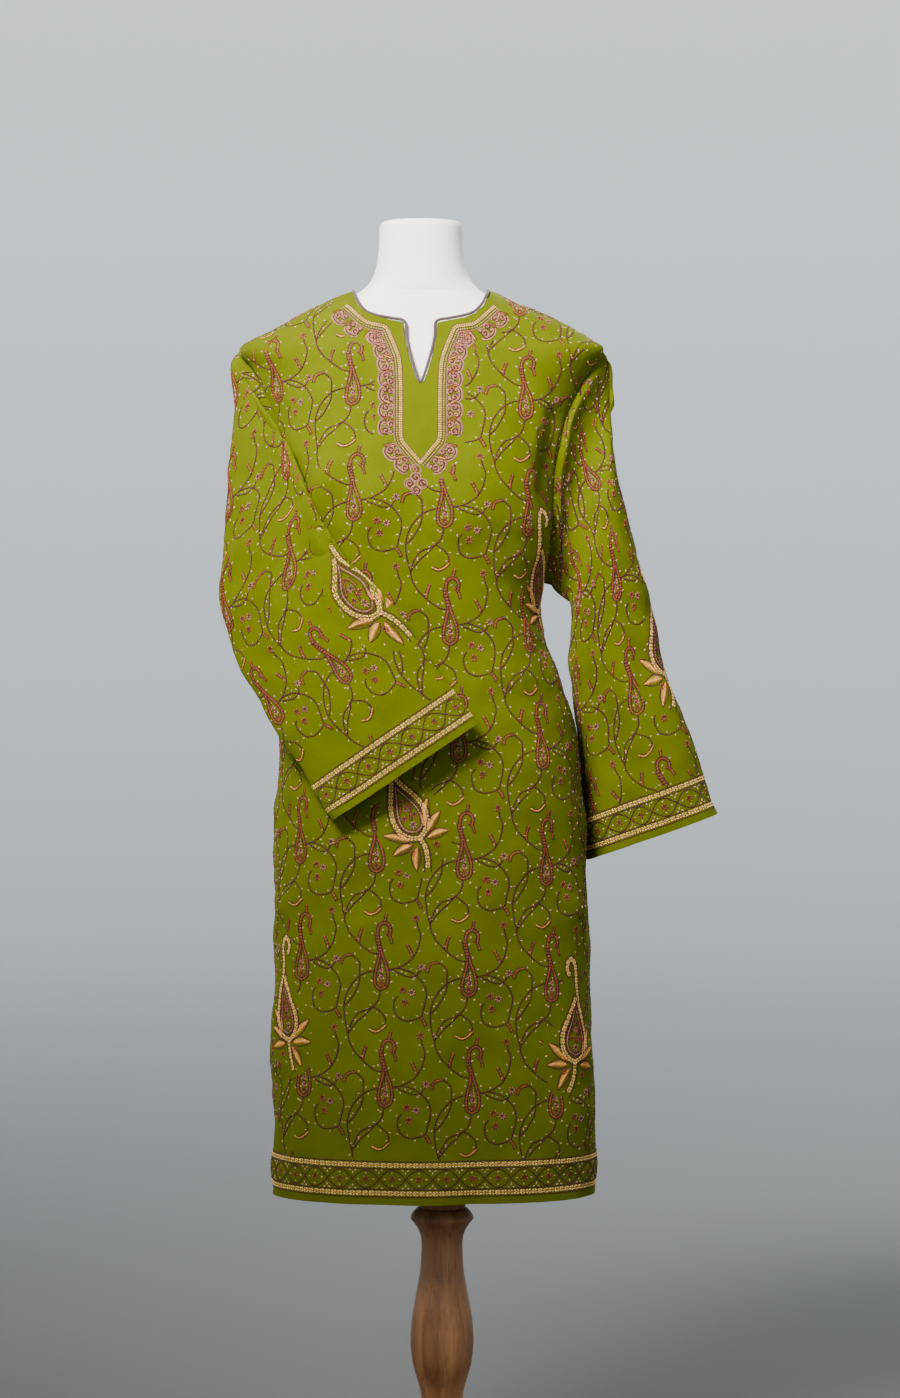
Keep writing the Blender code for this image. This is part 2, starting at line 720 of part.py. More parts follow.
def shoulder_ring(height):
    """A ring of the form that lies just inside the cloth of the shoulders."""
    read = {
        name: float(read_table(BODY_RINGS, "height", name, height + FORM_DROP))
        for name in BodyRing._fields[1:]
    }
    return FormRing(
        height,
        read["half_width"] - max(0.0, FORM_TIP_Z - height) * 1.1,
        read["front"] - FORM_DEPTH_INSET,
        read["back"] - FORM_DEPTH_INSET,
        read["middle_x"],
        0,
    )


def add_form(collection):
    """The limbless torso with its neck, lofted through its rings and closed at both ends."""
    rings = [form_ring(r) for r in FORM_RINGS]
    rings += [form_ring(shoulder_ring(h)) for h in FORM_SHOULDER_HEIGHTS]
    rings += [form_ring(r) for r in FORM_NECK]
    count = FORM_AROUND
    faces = []
    for low in range(len(rings) - 1):
        for j in range(count):
            k = (j + 1) % count
            faces.append([low * count + j, low * count + k, (low + 1) * count + k, (low + 1) * count + j])
    faces.append(list(reversed(range(count))))
    last = (len(rings) - 1) * count
    faces.append(list(range(last, last + count)))
    points = [p for ring in rings for p in ring]
    return add_mesh("dress_form", points, faces, "form_cover", collection)


def add_turned(name, profile, collection):
    """A turned piece: a profile that runs down its outer side, spun about the stand's axis."""
    mesh = bpy.data.meshes.new(name)
    line = [(0, profile[0].height)] + [(p.radius, p.height) for p in profile] + [(0, profile[-1].height)]
    points = [(r * MM, 0, z * MM) for r, z in line]
    mesh.from_pydata(points, [(i, i + 1) for i in range(len(points) - 1)], [])
    made = add_object(name, mesh, "wood", collection)
    screw = made.modifiers.new("turning", "SCREW")
    screw.steps = TURNED_STEPS
    screw.render_steps = TURNED_STEPS
    screw.use_merge_vertices = True
    screw.merge_threshold = 0.00001
    screw.use_smooth_shade = True
    return made


def column_profile():
    """The turned column's profile, with points between its named ones for a round swell."""
    heights = column(COLUMN_PROFILE, "height")[::-1]
    radii = column(COLUMN_PROFILE, "radius")[::-1]
    between = [(a + b) / 2 for a, b in zip(heights[5:-4], heights[6:-3])]
    wanted = sorted(set(heights + between), reverse=True)
    return [TurnedPoint(float(smooth_through(heights, radii, z)), z) for z in wanted]


def add_base(collection):
    mesh = bpy.data.meshes.new("stand_base")
    shape = bmesh.new()
    bmesh.ops.create_cone(
        shape,
        cap_ends=True,
        segments=48,
        radius1=BASE_RADIUS * MM,
        radius2=BASE_RADIUS * MM,
        depth=BASE_HEIGHT * MM,
    )
    shape.to_mesh(mesh)
    shape.free()
    made = add_object("stand_base", mesh, "wood", collection)
    made.location.z = BASE_HEIGHT / 2 * MM
    rounding = made.modifiers.new("rounding", "BEVEL")
    rounding.width = BASE_ROUNDING * MM
    rounding.segments = 2
    rounding.limit_method = "ANGLE"
    return made


def armhole_loop(front_rows, back_rows, column_index):
    """The armhole's points from the shoulder tip down its front and up its back."""
    first = len(LOW_ROWS) - 1
    down = [row[column_index] for row in front_rows[first:]][::-1]
    up = [row[column_index] for row in back_rows[first:]]
    return down + up[1:-1]


def main():
    clear_scene()
    collection = bpy.data.collections.new("pheran_on_dress_form")
    bpy.context.scene.collection.children.link(collection)
    front = Panel(-1)
    back = Panel(1)
    front_rows = panel_grid(front, FRONT_NECKLINE)
    back_rows = panel_grid(back, BACK_NECKLINE)
    skin = Skin()
    skin.add_grid("front_panel", front_rows)
    skin.add_grid("back_panel", back_rows, flip=True)
    tree = body_tree(front_rows, back_rows)
    left_armhole = armhole_loop(front_rows, back_rows, -1)
    right_armhole = armhole_loop(front_rows, back_rows, 0)
    left_rings = sleeve_grid(LEFT_SLEEVE, LEFT_FOLDS, left_armhole, tree, LEFT_STAND_OFF)
    right_rings = sleeve_grid(RIGHT_SLEEVE, RIGHT_FOLDS, right_armhole, tree, RIGHT_STAND_OFF)
    skin.add_grid("left_sleeve", left_rings, closed=True)
    skin.add_grid("right_sleeve", right_rings, closed=True, flip=True)
    normals = skin.normals()
    for name in skin.faces:
        add_cloth(name, skin, normals, collection)
    add_piping(front, back, collection)
    add_form(collection)
    post = [TurnedPoint(POST_RADIUS, POST_TOP_Z), TurnedPoint(POST_RADIUS, COLLAR_TOP_Z + SEAM_GAP)]
    add_turned("stand_post", post, collection)
    add_turned("stand_column", column_profile(), collection)
    add_base(collection)


main()
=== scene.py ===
import math
from collections import namedtuple

import bpy
import numpy as np
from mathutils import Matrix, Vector
from mathutils.bvhtree import BVHTree


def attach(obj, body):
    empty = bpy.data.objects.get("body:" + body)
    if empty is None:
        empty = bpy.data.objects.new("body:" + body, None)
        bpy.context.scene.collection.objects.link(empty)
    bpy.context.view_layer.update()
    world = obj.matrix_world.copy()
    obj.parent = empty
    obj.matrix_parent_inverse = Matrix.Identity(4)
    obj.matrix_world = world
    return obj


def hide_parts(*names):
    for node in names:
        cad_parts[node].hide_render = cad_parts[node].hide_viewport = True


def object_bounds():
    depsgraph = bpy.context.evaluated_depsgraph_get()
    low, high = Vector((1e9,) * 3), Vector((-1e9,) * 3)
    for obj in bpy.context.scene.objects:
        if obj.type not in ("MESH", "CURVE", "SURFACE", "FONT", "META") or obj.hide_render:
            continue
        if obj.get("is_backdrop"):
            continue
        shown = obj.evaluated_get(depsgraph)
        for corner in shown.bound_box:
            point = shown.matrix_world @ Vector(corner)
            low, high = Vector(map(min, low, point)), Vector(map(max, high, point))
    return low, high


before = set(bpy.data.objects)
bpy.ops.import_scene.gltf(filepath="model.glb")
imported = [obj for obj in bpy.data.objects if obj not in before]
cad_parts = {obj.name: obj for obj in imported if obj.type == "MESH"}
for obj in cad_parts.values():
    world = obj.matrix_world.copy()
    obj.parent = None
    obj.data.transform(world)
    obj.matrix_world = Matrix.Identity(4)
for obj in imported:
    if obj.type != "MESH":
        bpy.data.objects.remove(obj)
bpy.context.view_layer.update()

# %% [markdown]
# # A long embroidered wool pheran on a dress form
#
# A pheran is a long loose tunic from Kashmir. This one is cut from thick green wool, a front, a
# back and two wide sleeves, and is worked all over by hand with crewel wool in browns and creams.
# It stands on a white limbless form with a turned wooden stand.
#
# The frame gives each piece its place. The camera comes first, because every later choice of
# detail is judged through it. It stands level, four metres away, as for a shop photograph.

# %% Camera
CAMERA_AWAY = 4.0
CAMERA_HEIGHT = 0.952
CAMERA_ACROSS = 0.0092
HALF_PICTURE_HEIGHT = 0.80385  # what the camera sees above its middle, at the origin
HALF_SENSOR_MM = 18.0

camera_data = bpy.data.cameras.new("camera")
camera_data.sensor_width = 2 * HALF_SENSOR_MM
camera_data.lens = HALF_SENSOR_MM * CAMERA_AWAY / HALF_PICTURE_HEIGHT
camera = bpy.data.objects.new("camera", camera_data)
camera.location = (CAMERA_ACROSS, -CAMERA_AWAY, CAMERA_HEIGHT)
camera.rotation_euler = (math.pi / 2, 0, 0)
bpy.context.scene.collection.objects.link(camera)
bpy.context.scene.camera = camera
print("lens", round(camera_data.lens, 2), "mm")

# %% [markdown]
# ## The shape of the cloth
#
# The body of the tunic is a stack of rounded rings, wide at the hem and the shoulders and narrow
# at the waist. A table of rings with a smooth curve through each of its columns gives a surface
# that can be asked for a point at any height, as fine as wished. The same table makes the plain
# solid, so the two agree. Sizes here are in millimetres until a mesh is made.

# %% Rings of the body
MM = 0.001
CLOTH = 2.0
HEM_Z = 387.0
UNDERARM_Z = 1085.0
SHOULDER_TIP_Z = 1351.0
SHOULDER_TIP_X = 209.0
MIDDLE_X = -24.0
SQUARENESS = 2.3
ARMHOLE_HALF_GAP = 44.0
EDGE_RATIO = 0.999999

BodyRing = namedtuple("BodyRing", "height half_width front back middle_x")
BODY_RINGS = (
    BodyRing(387, 184, 119, 112, -10),
    BodyRing(600, 182, 118, 113, -11),
    BodyRing(715, 179, 117, 117, -12),
    BodyRing(800, 178, 121, 123, -13),
    BodyRing(898, 173, 117, 115, -15),
    BodyRing(969, 157, 113, 106, -17),
    BodyRing(1007, 141, 111, 102, -19),
    BodyRing(1052, 134, 112, 101, -21),
    BodyRing(1112, 144, 117, 104, -22),
    BodyRing(1169, 155, 121, 108, -23),
    BodyRing(1204, 159, 118, 110, -24),
    BodyRing(1250, 168, 110, 110, -24),
    BodyRing(1296, 180, 99, 104, -24),
    BodyRing(1330, 196, 90, 95, -24),
    BodyRing(1351, 209, 82, 87, -24),
    BodyRing(1362, 194, 77, 82, -24),
    BodyRing(1373, 177, 74, 78, -24),
    BodyRing(1390, 148, 68, 71, -24),
    BodyRing(1405, 114, 63, 65, -24),
    BodyRing(1420, 79, 58, 60, -24),
    BodyRing(1426, 66, 56, 58, -24),
)


def smooth_through(knots, values, at):
    """A curve through the knots that never swings past them."""
    knots = np.asarray(knots, float)
    values = np.asarray(values, float)
    steps = np.diff(knots)
    slopes = np.diff(values) / steps
    bends = np.zeros_like(values)
    same_way = slopes[:-1] * slopes[1:] > 0
    before = 2 * steps[1:] + steps[:-1]
    after = steps[1:] + 2 * steps[:-1]
    safe = np.where(same_way, slopes[:-1] * slopes[1:], 1.0)
    mixed = (before + after) * safe / (before * slopes[1:] + after * slopes[:-1] + 1e-12)
    bends[1:-1] = np.where(same_way, mixed, 0.0)
    bends[0] = slopes[0]
    bends[-1] = slopes[-1]
    at = np.clip(np.asarray(at, float), knots[0], knots[-1])
    span = np.clip(np.searchsorted(knots, at, side="right") - 1, 0, len(steps) - 1)
    u = (at - knots[span]) / steps[span]
    rise = steps[span]
    return (
        values[span] * (1 + 2 * u) * (1 - u) ** 2
        + bends[span] * rise * u * (1 - u) ** 2
        + values[span + 1] * u * u * (3 - 2 * u)
        + bends[span + 1] * rise * u * u * (u - 1)
    )


def column(table, name):
    return [getattr(row, name) for row in table]


def read_table(table, key, name, at):
    return smooth_through(column(table, key), column(table, name), at)


def soft_step(low, high, at):
    u = np.clip((np.asarray(at, float) - low) / (high - low), 0, 1)
    return u * u * (3 - 2 * u)


print("width at the hem", 2 * BODY_RINGS[0].half_width, "mm")

# %% [markdown]
# A panel is half of those rings, between the two side seams. Columns of points stand at equal
# lengths of cloth, as threads would, so that a pattern drawn on the flat cloth isn't stretched.

# %% A panel as a surface
BUST_X = 78.0
BUST_Z = 1178.0
BUST_RISE = 11.0
BUST_WIDTH = 56.0
BUST_HEIGHT = 70.0
SEAM_FADE = 12

SkirtWave = namedtuple("SkirtWave", "count rise turn")
SKIRT_WAVES = (SkirtWave(3, 2.6, 0.4), SkirtWave(5, 2.2, 1.9), SkirtWave(8, 1.3, 0.7))
SKIRT_FREE_Z = 730.0

Fold = namedtuple("Fold", "from_x from_z to_x to_z width rise")
FRONT_FOLDS = (
    Fold(-128, 1150, -92, 1232, 13, 8.0),
    Fold(-100, 1150, -66, 1215, 13, -5.0),
    Fold(168, 1290, 150, 1175, 14, -7.0),
    Fold(138, 1280, 128, 1190, 14, 4.0),
    Fold(-215, 708, -150, 736, 12, 3.5),
    Fold(215, 702, 152, 728, 12, 3.5),
    Fold(-168, 690, -160, 430, 10, 4.0),
)


def on_ring(half_width, depth, turn):
    across = half_width * np.clip(np.cos(turn), 0, 1) ** (2 / SQUARENESS)
    forward = depth * np.clip(np.sin(turn), 0, 1) ** (2 / SQUARENESS)
    return across, forward


def edge_turn(height, depth):
    """Angle on the ring, from the side, at which a panel ends."""
    u = np.clip((height - UNDERARM_Z) / (SHOULDER_TIP_Z - UNDERARM_Z), 0, 1)
    gap = ARMHOLE_HALF_GAP * np.sin(math.pi * u) ** 0.7
    return np.arcsin(np.clip(gap / depth, 0, 1) ** (SQUARENESS / 2))


def fold_rise(fold, x, z):
    """A soft ridge along a line, fading towards both of its ends."""
    run_x, run_z = fold.to_x - fold.from_x, fold.to_z - fold.from_z
    length2 = run_x**2 + run_z**2
    along = ((x - fold.from_x) * run_x + (z - fold.from_z) * run_z) / length2
    held = np.clip(along, 0, 1)
    off2 = (x - fold.from_x - held * run_x) ** 2 + (z - fold.from_z - held * run_z) ** 2
    fade = np.sin(math.pi * np.clip(along, 0.02, 0.98)) ** 0.5
    return fold.rise * fade * np.exp(-off2 / fold.width**2)


class Panel:
    """The front (side -1) or the back (side 1), over across and height."""

    def __init__(self, side):
        self.side = side
        self.depth_name = "front" if side < 0 else "back"
        self.heights = np.unique(np.append(np.linspace(HEM_Z, SHOULDER_TIP_Z, 120), UNDERARM_Z))
        shares = np.linspace(0, 1, 41)
        turns, lengths = [], []
        for height in self.heights:
            half_width = read_table(BODY_RINGS, "height", "half_width", height)
            depth = read_table(BODY_RINGS, "height", self.depth_name, height)
            line = np.linspace(math.pi / 2, float(edge_turn(height, depth)), 160)
            x, y = on_ring(half_width, depth, line)
            run = np.concatenate(([0], np.cumsum(np.hypot(np.diff(x), np.diff(y)))))
            turns.append(np.interp(shares * run[-1], run, line))
            lengths.append(run[-1])
        self.turns = np.array(turns)
        self.lengths = np.array(lengths)

    def turn(self, across, height):
        share = np.abs(across)
        low = np.minimum(height, SHOULDER_TIP_Z)
        row = np.searchsorted(self.heights, low, side="right") - 1
        row = np.minimum(row, len(self.heights) - 2)
        mix = (low - self.heights[row]) / (self.heights[row + 1] - self.heights[row])
        place = share * (self.turns.shape[1] - 1)
        col = np.minimum(place.astype(int), self.turns.shape[1] - 2)
        part = place - col
        here = self.turns[row, col] * (1 - part) + self.turns[row, col + 1] * part
        above = self.turns[row + 1, col] * (1 - part) + self.turns[row + 1, col + 1] * part
        by_length = here * (1 - mix) + above * mix
        half_width = read_table(BODY_RINGS, "height", "half_width", height)
        depth = read_table(BODY_RINGS, "height", self.depth_name, height)
        edge_x = on_ring(half_width, depth, edge_turn(height, depth))[0]
        edge_x = np.where(height < SHOULDER_TIP_Z, edge_x, SHOULDER_TIP_X)
        ratio = share * edge_x / half_width
        upright = np.arccos(np.clip(ratio, 0, 1) ** (SQUARENESS / 2))
        upright = np.where(ratio > EDGE_RATIO, 0.0, upright)
        weight = soft_step(1250, SHOULDER_TIP_Z, height)
        return by_length * (1 - weight) + upright * weight

    def points(self, across, height):
        half_width = read_table(BODY_RINGS, "height", "half_width", height)
        depth = read_table(BODY_RINGS, "height", self.depth_name, height)
        middle = read_table(BODY_RINGS, "height", "middle_x", height)
        turn = self.turn(across, height)
        x, y = on_ring(half_width, depth, turn)
        hand = np.where(across >= 0, 1.0, -1.0)
        x, y = x * hand, y * self.side
        out = self.relief(across, height, x, y)
        x = middle + x + out * np.cos(turn) * hand
        return np.stack((x, y + out * np.sin(turn) * self.side, height), axis=-1)

    def relief(self, across, height, x, y):
        """How far the skirt's waves, the bust and the largest folds lift the cloth."""
        around = np.arctan2(y, x)
        free = soft_step(SKIRT_FREE_Z, HEM_Z, height)
        out = free * sum(w.rise * np.cos(w.count * around + w.turn) for w in SKIRT_WAVES)
        if self.side > 0:
            return out
        place = (np.abs(x) - BUST_X) / BUST_WIDTH
        rise = (height - BUST_Z) / BUST_HEIGHT
        shape = BUST_RISE * np.exp(-(place**2) - rise**2)
        flat_x = across * np.interp(height, self.heights, self.lengths)
        shape = shape + sum(fold_rise(fold, flat_x, height) for fold in FRONT_FOLDS)
        return out + shape * (1 - np.abs(across) ** SEAM_FADE)


front = Panel(-1)
back = Panel(1)
print("cloth from middle to side seam at the hem", round(float(front.lengths[0])), "mm")

# %% [markdown]
# The top edges follow the neckline, its slit and the shoulders. A grid of points is laid up to
# that edge: its rows are level low down, and bend towards the shoulders at the top.

# %% Grids of the two panels
EdgePoint = namedtuple("EdgePoint", "across height")
SHOULDER_ACROSS = (79.0, 101.0, 124.0, 147.0, 169.0, 190.0, 209.0)
FRONT_NECKLINE = (
    EdgePoint(0, 1306),
    EdgePoint(4, 1309),
    EdgePoint(8, 1319),
    EdgePoint(13, 1336),
    EdgePoint(18, 1360),
    EdgePoint(19.5, 1377),
    EdgePoint(34, 1380.5),
    EdgePoint(50, 1384),
    EdgePoint(62, 1389),
    EdgePoint(71, 1398.5),
    EdgePoint(76, 1408.5),
    EdgePoint(78.3, 1415),
)
BACK_NECKLINE = (
    EdgePoint(0, 1401),
    EdgePoint(20, 1401.5),
    EdgePoint(40, 1403),
    EdgePoint(58, 1406),
    EdgePoint(70, 1410.5),
    EdgePoint(76, 1414.5),
    EdgePoint(78.3, 1417.5),
)
NECK_POINT = EdgePoint(79.0, 1420.0)
LOW_ROWS = (HEM_Z, 440, 505, 575, 645, 700, 740, 800, 870, 940, 990, 1038, UNDERARM_Z)
ARM_ROWS = (UNDERARM_Z, 1105, 1140, 1185, 1230, 1275)
ROW_STEP = 5.2
COLUMN_STEP = 4.2
ARM_SPLITS = 8
TOP_ROWS = 56


def split_evenly(knots, step):
    """The knots, with as many equal steps between two of them as keep below the step."""
    made = [float(knots[0])]
    for a, b in zip(knots, knots[1:]):
        count = max(1, math.ceil(abs(b - a) / step))
        made += list(np.linspace(a, b, count + 1)[1:])
    return np.array(made)


def shoulder_height(across):
    """The shoulder seam: where the rings are just as wide as the place across."""
    heights = np.linspace(SHOULDER_TIP_Z, BODY_RINGS[-1].height, 4000)
    widths = read_table(BODY_RINGS, "height", "half_width", heights)
    return np.interp(-np.abs(across), -widths, heights)


def panel_grid(panel, neckline):
    line = neckline + tuple(EdgePoint(x, float(shoulder_height(x))) for x in SHOULDER_ACROSS)
    half = split_evenly(column(line, "across"), COLUMN_STEP)
    columns = np.concatenate((-half[:0:-1], half))
    top = np.interp(np.abs(columns), column(line, "across"), column(line, "height"))
    top = np.where(np.abs(columns) >= NECK_POINT.across, shoulder_height(columns), top)
    low = split_evenly(LOW_ROWS, ROW_STEP)
    arm = [np.linspace(a, b, ARM_SPLITS + 1)[1:] for a, b in zip(ARM_ROWS, ARM_ROWS[1:])]
    level = np.concatenate([low] + arm)
    heights = np.repeat(level[:, None], len(columns), axis=1)
    share = np.sin(np.arange(1, TOP_ROWS + 1) / TOP_ROWS * math.pi / 2)[:, None]
    heights = np.concatenate((heights, level[-1] + (top[None] - level[-1]) * share))
    across = np.repeat(columns[None] / SHOULDER_TIP_X, len(heights), axis=0)
    return panel.points(across, heights), heights, columns, len(low) - 1


front_grid, front_heights, front_columns, underarm_row = panel_grid(front, FRONT_NECKLINE)
back_grid, back_heights, back_columns, _ = panel_grid(back, BACK_NECKLINE)
print("front grid", front_grid.shape[:2], "back grid", back_grid.shape[:2])

# %% [markdown]
# ## The sleeves
#
# Each sleeve is a wide tube that starts at the armhole's own points. One hangs, and one is bent
# across the waist. Ovals between a top line and a low line carry each tube, and wherever it would
# cut into the body, its points are moved out of it, and the moves are spread to their neighbours.

# %% Sections of the sleeves
SleeveSection = namedtuple(
    "SleeveSection", "along top_x top_y top_z low_x low_y low_z front back hump"
)
RIGHT_SLEEVE = (
    SleeveSection(0.00, -231, 0, 1351, -160, 0, 1085, 44, 44, 0),
    SleeveSection(0.05, -236, -4, 1328, -162, -40, 1090, 46, 40, 6),
    SleeveSection(0.12, -239, -9, 1285, -147, -84, 1100, 42, 32, 24),
    SleeveSection(0.22, -242, -12, 1233, -124, -108, 1103, 34, 26, 32),
    SleeveSection(0.32, -244, -16, 1180, -104, -120, 1098, 28, 22, 28),
    SleeveSection(0.42, -250, -20, 1117, -85, -128, 1085, 26, 20, 18),
    SleeveSection(0.52, -254, -28, 1062, -68, -133, 1067, 25, 19, 10),
    SleeveSection(0.62, -235, -44, 1003, -47, -137, 1046, 24, 18, 6),
    SleeveSection(0.74, -204, -72, 948, -18, -140, 1010, 22, 17, 3),
    SleeveSection(0.87, -164, -100, 880, 12, -141, 967, 20, 16, 0),
    SleeveSection(1.00, -119, -122, 818, 42, -139, 926, 20, 16, 0),
)
LEFT_SLEEVE = (
    SleeveSection(0.00, 185, 0, 1351, 118, 0, 1085, 44, 44, 0),
    SleeveSection(0.05, 191, 0, 1322, 126, 2, 1078, 24, 34, 0),
    SleeveSection(0.10, 194, 0, 1290, 136, 3, 1071, 20, 30, 0),
    SleeveSection(0.18, 196, -2, 1246, 148, 6, 1063, 40, 36, 0),
    SleeveSection(0.27, 203, -3, 1204, 151, 10, 1046, 50, 40, 0),
    SleeveSection(0.36, 214, -4, 1160, 148, 14, 1020, 50, 40, 0),
    SleeveSection(0.48, 227, -5, 1104, 146, 18, 984, 48, 40, 0),
    SleeveSection(0.60, 244, -6, 1037, 147, 24, 940, 46, 40, 0),
    SleeveSection(0.72, 263, -8, 965, 153, 30, 896, 46, 40, 0),
    SleeveSection(0.86, 290, -10, 887, 160, 34, 832, 47, 42, 0),
    SleeveSection(1.00, 316, -10, 821, 165, 36, 766, 48, 44, 0),
)
SleeveFold = namedtuple("SleeveFold", "along around long wide rise")
RIGHT_FOLDS = (
    SleeveFold(0.53, 0.14, 0.03, 0.16, 6.0),
    SleeveFold(0.46, 0.22, 0.03, 0.14, -4.0),
    SleeveFold(0.36, 0.72, 0.10, 0.10, 3.0),
    SleeveFold(0.62, 0.30, 0.05, 0.12, 2.5),
    SleeveFold(0.70, 0.52, 0.14, 0.08, -2.0),
)
LEFT_FOLDS = (
    SleeveFold(0.72, 0.60, 0.26, 0.09, -13.0),
    SleeveFold(0.60, 0.42, 0.30, 0.08, 5.0),
    SleeveFold(0.30, 0.25, 0.16, 0.08, 2.5),
    SleeveFold(0.85, 0.22, 0.14, 0.10, 2.0),
)
SLEEVE_ROWS = 110
FOLD_ROUNDING = 0.75
ARM_BLEND_T = 0.22
SLEEVE_LIFT = 4.0
SEAM_LIFT = 8.0
LIFT_ROUNDS = 4
EDGE_SLACK = 0.5
LEFT_STAND_OFF = 6.0
RIGHT_STAND_OFF = 12.0
SPREAD_AROUND = 5.6  # how far a move is spread, in points round the sleeve
SPREAD_ALONG = 4.4


def sleeve_points(sections, folds, along, around):
    """around is in half turns: 0 at the top, 0.5 in front, 1 below."""
    read = {n: read_table(sections, "along", n, along) for n in SleeveSection._fields[1:]}
    top = np.stack((read["top_x"], read["top_y"], read["top_z"]), axis=-1)
    low = np.stack((read["low_x"], read["low_y"], read["low_z"]), axis=-1)
    turn = around * math.pi
    point = (top + low) / 2 + (top - low) / 2 * np.cos(turn)[..., None]
    sine = np.sin(turn)
    in_front = sine >= 0
    bulge = np.abs(sine) ** FOLD_ROUNDING
    rise = sum(
        f.rise * np.exp(-(((along - f.along) / f.long) ** 2) - ((around - f.around) / f.wide) ** 2)
        for f in folds
    )
    point[..., 1] += np.where(in_front, -read["front"] * bulge - rise * sine, read["back"] * bulge)
    leg_x = np.abs(top[..., 2] - low[..., 2])
    leg_z = np.abs(top[..., 0] - low[..., 0])
    leg = np.hypot(leg_x, leg_z)
    hump = np.where(in_front, read["hump"] * sine**2, 0)
    point[..., 0] += leg_x / leg * hump * (-1 if sections is LEFT_SLEEVE else 1)
    point[..., 2] += leg_z / leg * hump
    return point


def stood_off(points, first, along, around, stand_off):
    """Near the low armhole the cloth first stands straight out of it."""
    low_share = soft_step(0.0, 0.3, np.minimum(around, 2 - around))
    share = ((1 - soft_step(0.0, 0.17, along)) * low_share)[..., None]
    half_width = read_table(BODY_RINGS, "height", "half_width", first[:, 2])
    depth = read_table(BODY_RINGS, "height", "front", first[:, 2])
    middle = read_table(BODY_RINGS, "height", "middle_x", first[:, 2])
    out = np.stack(((first[:, 0] - middle) / half_width**2, first[:, 1] / depth**2, 0 * depth), -1)
    out /= np.linalg.norm(out, axis=1)[:, None]
    reach = stand_off * np.minimum(1, along / 0.05)[..., None]
    return points * (1 - share) + (first[None] + out[None] * reach) * share


def grid_quads(rows, columns, closed=False, flip=False):
    """Four-sided faces of a grid of points, counted row by row."""
    wide = columns if closed else columns - 1
    i, j = np.meshgrid(np.arange(rows - 1), np.arange(wide), indexing="ij")
    k = (j + 1) % columns
    low, high = i * columns, (i + 1) * columns
    quads = np.stack((low + j, low + k, high + k, high + j), -1).reshape(-1, 4)
    return quads[:, ::-1] if flip else quads


def body_tree():
    """The body with its armholes closed, for finding what a sleeve lies against."""
    every = 3
    points, faces = [], []

    def add(grid, flip):
        start = len(points)
        points.extend(grid.reshape(-1, 3).tolist())
        faces.extend((grid_quads(*grid.shape[:2], flip=flip) + start).tolist())

    rows = sorted(set(range(0, len(front_grid), every)) | {len(front_grid) - 1, underarm_row})
    add(front_grid[rows][:, ::2], False)
    add(back_grid[rows][:, ::2], True)
    rows = sorted(set(range(underarm_row, len(front_grid), every)) | {len(front_grid) - 1})
    for edge, sign in ((0, -1), (-1, 1)):
        height = front_grid[rows, edge, 2]
        half_width = read_table(BODY_RINGS, "height", "half_width", height)
        middle = read_table(BODY_RINGS, "height", "middle_x", height)
        outermost = np.stack((middle + sign * half_width, 0 * height, height), -1)
        add(np.stack((front_grid[rows, edge], outermost, back_grid[rows, edge]), 1), sign < 0)
    return BVHTree.FromPolygons(points, faces)


def lifted(points, tree, least):
    """Points of a sleeve, moved out of the body's cloth where they lie over it."""
    out = points.copy()
    for index in np.ndindex(points.shape[:2]):
        point = Vector(points[index])
        found, normal, _, _ = tree.find_nearest(point)
        off = point - found
        height = off.dot(normal)
        if height < least[index[0]] and (off - height * normal).length <= EDGE_SLACK:
            out[index] = point + float(least[index[0]] - height) * normal
    return out


def spread(moves):
    """The moves, blurred round the sleeve and along it, with the armhole held still."""
    for axis, width in ((1, SPREAD_AROUND), (0, SPREAD_ALONG)):
        reach = int(3 * width)
        weights = np.exp(-((np.arange(-reach, reach + 1) / width) ** 2) / 2)
        weights /= weights.sum()
        mode = "wrap" if axis == 1 else "edge"
        padding = [(0, 0)] * 3
        padding[axis] = (reach, reach)
        padded = np.pad(moves, padding, mode=mode)
        size = moves.shape[axis]
        moves = sum(
            weight * np.take(padded, range(i, i + size), axis=axis)
            for i, weight in enumerate(weights)
        )
    return moves


def sleeve_grid(sections, folds, armhole, tree, stand_off):
    along = np.linspace(0, 1, SLEEVE_ROWS)
    around = 2 * np.arange(len(armhole)) / len(armhole)
    along2, around2 = np.meshgrid(along, around, indexing="ij")
    own = sleeve_points(sections, folds, along2, around2)
    keep = (1 - soft_step(0, ARM_BLEND_T, along2))[..., None]
    free = own + (armhole - own[0])[None] * keep
    free = stood_off(free, armhole, along2, around2, stand_off)
    least = SEAM_LIFT + (SLEEVE_LIFT - SEAM_LIFT) * soft_step(0.05, 0.2, along)
    rings = free
    held = soft_step(0, 0.03, along)[:, None, None]
    for _ in range(LIFT_ROUNDS):
        rings = free + spread(lifted(rings, tree, least) - free) * held
    final = np.full(SLEEVE_ROWS, SLEEVE_LIFT)
    rings = np.concatenate((rings[:1], lifted(rings[1:], tree, final)))
    return rings


def armhole_loop(edge):
    """The armhole's points from the shoulder tip down its front and up its back."""
    down = front_grid[underarm_row:, edge][::-1]
    return np.concatenate((down, back_grid[underarm_row:, edge][1:-1]))


tree = body_tree()
left_grid = sleeve_grid(LEFT_SLEEVE, LEFT_FOLDS, armhole_loop(-1), tree, LEFT_STAND_OFF)
right_grid = sleeve_grid(RIGHT_SLEEVE, RIGHT_FOLDS, armhole_loop(0), tree, RIGHT_STAND_OFF)
print("sleeve grids", left_grid.shape[:2], right_grid.shape[:2])

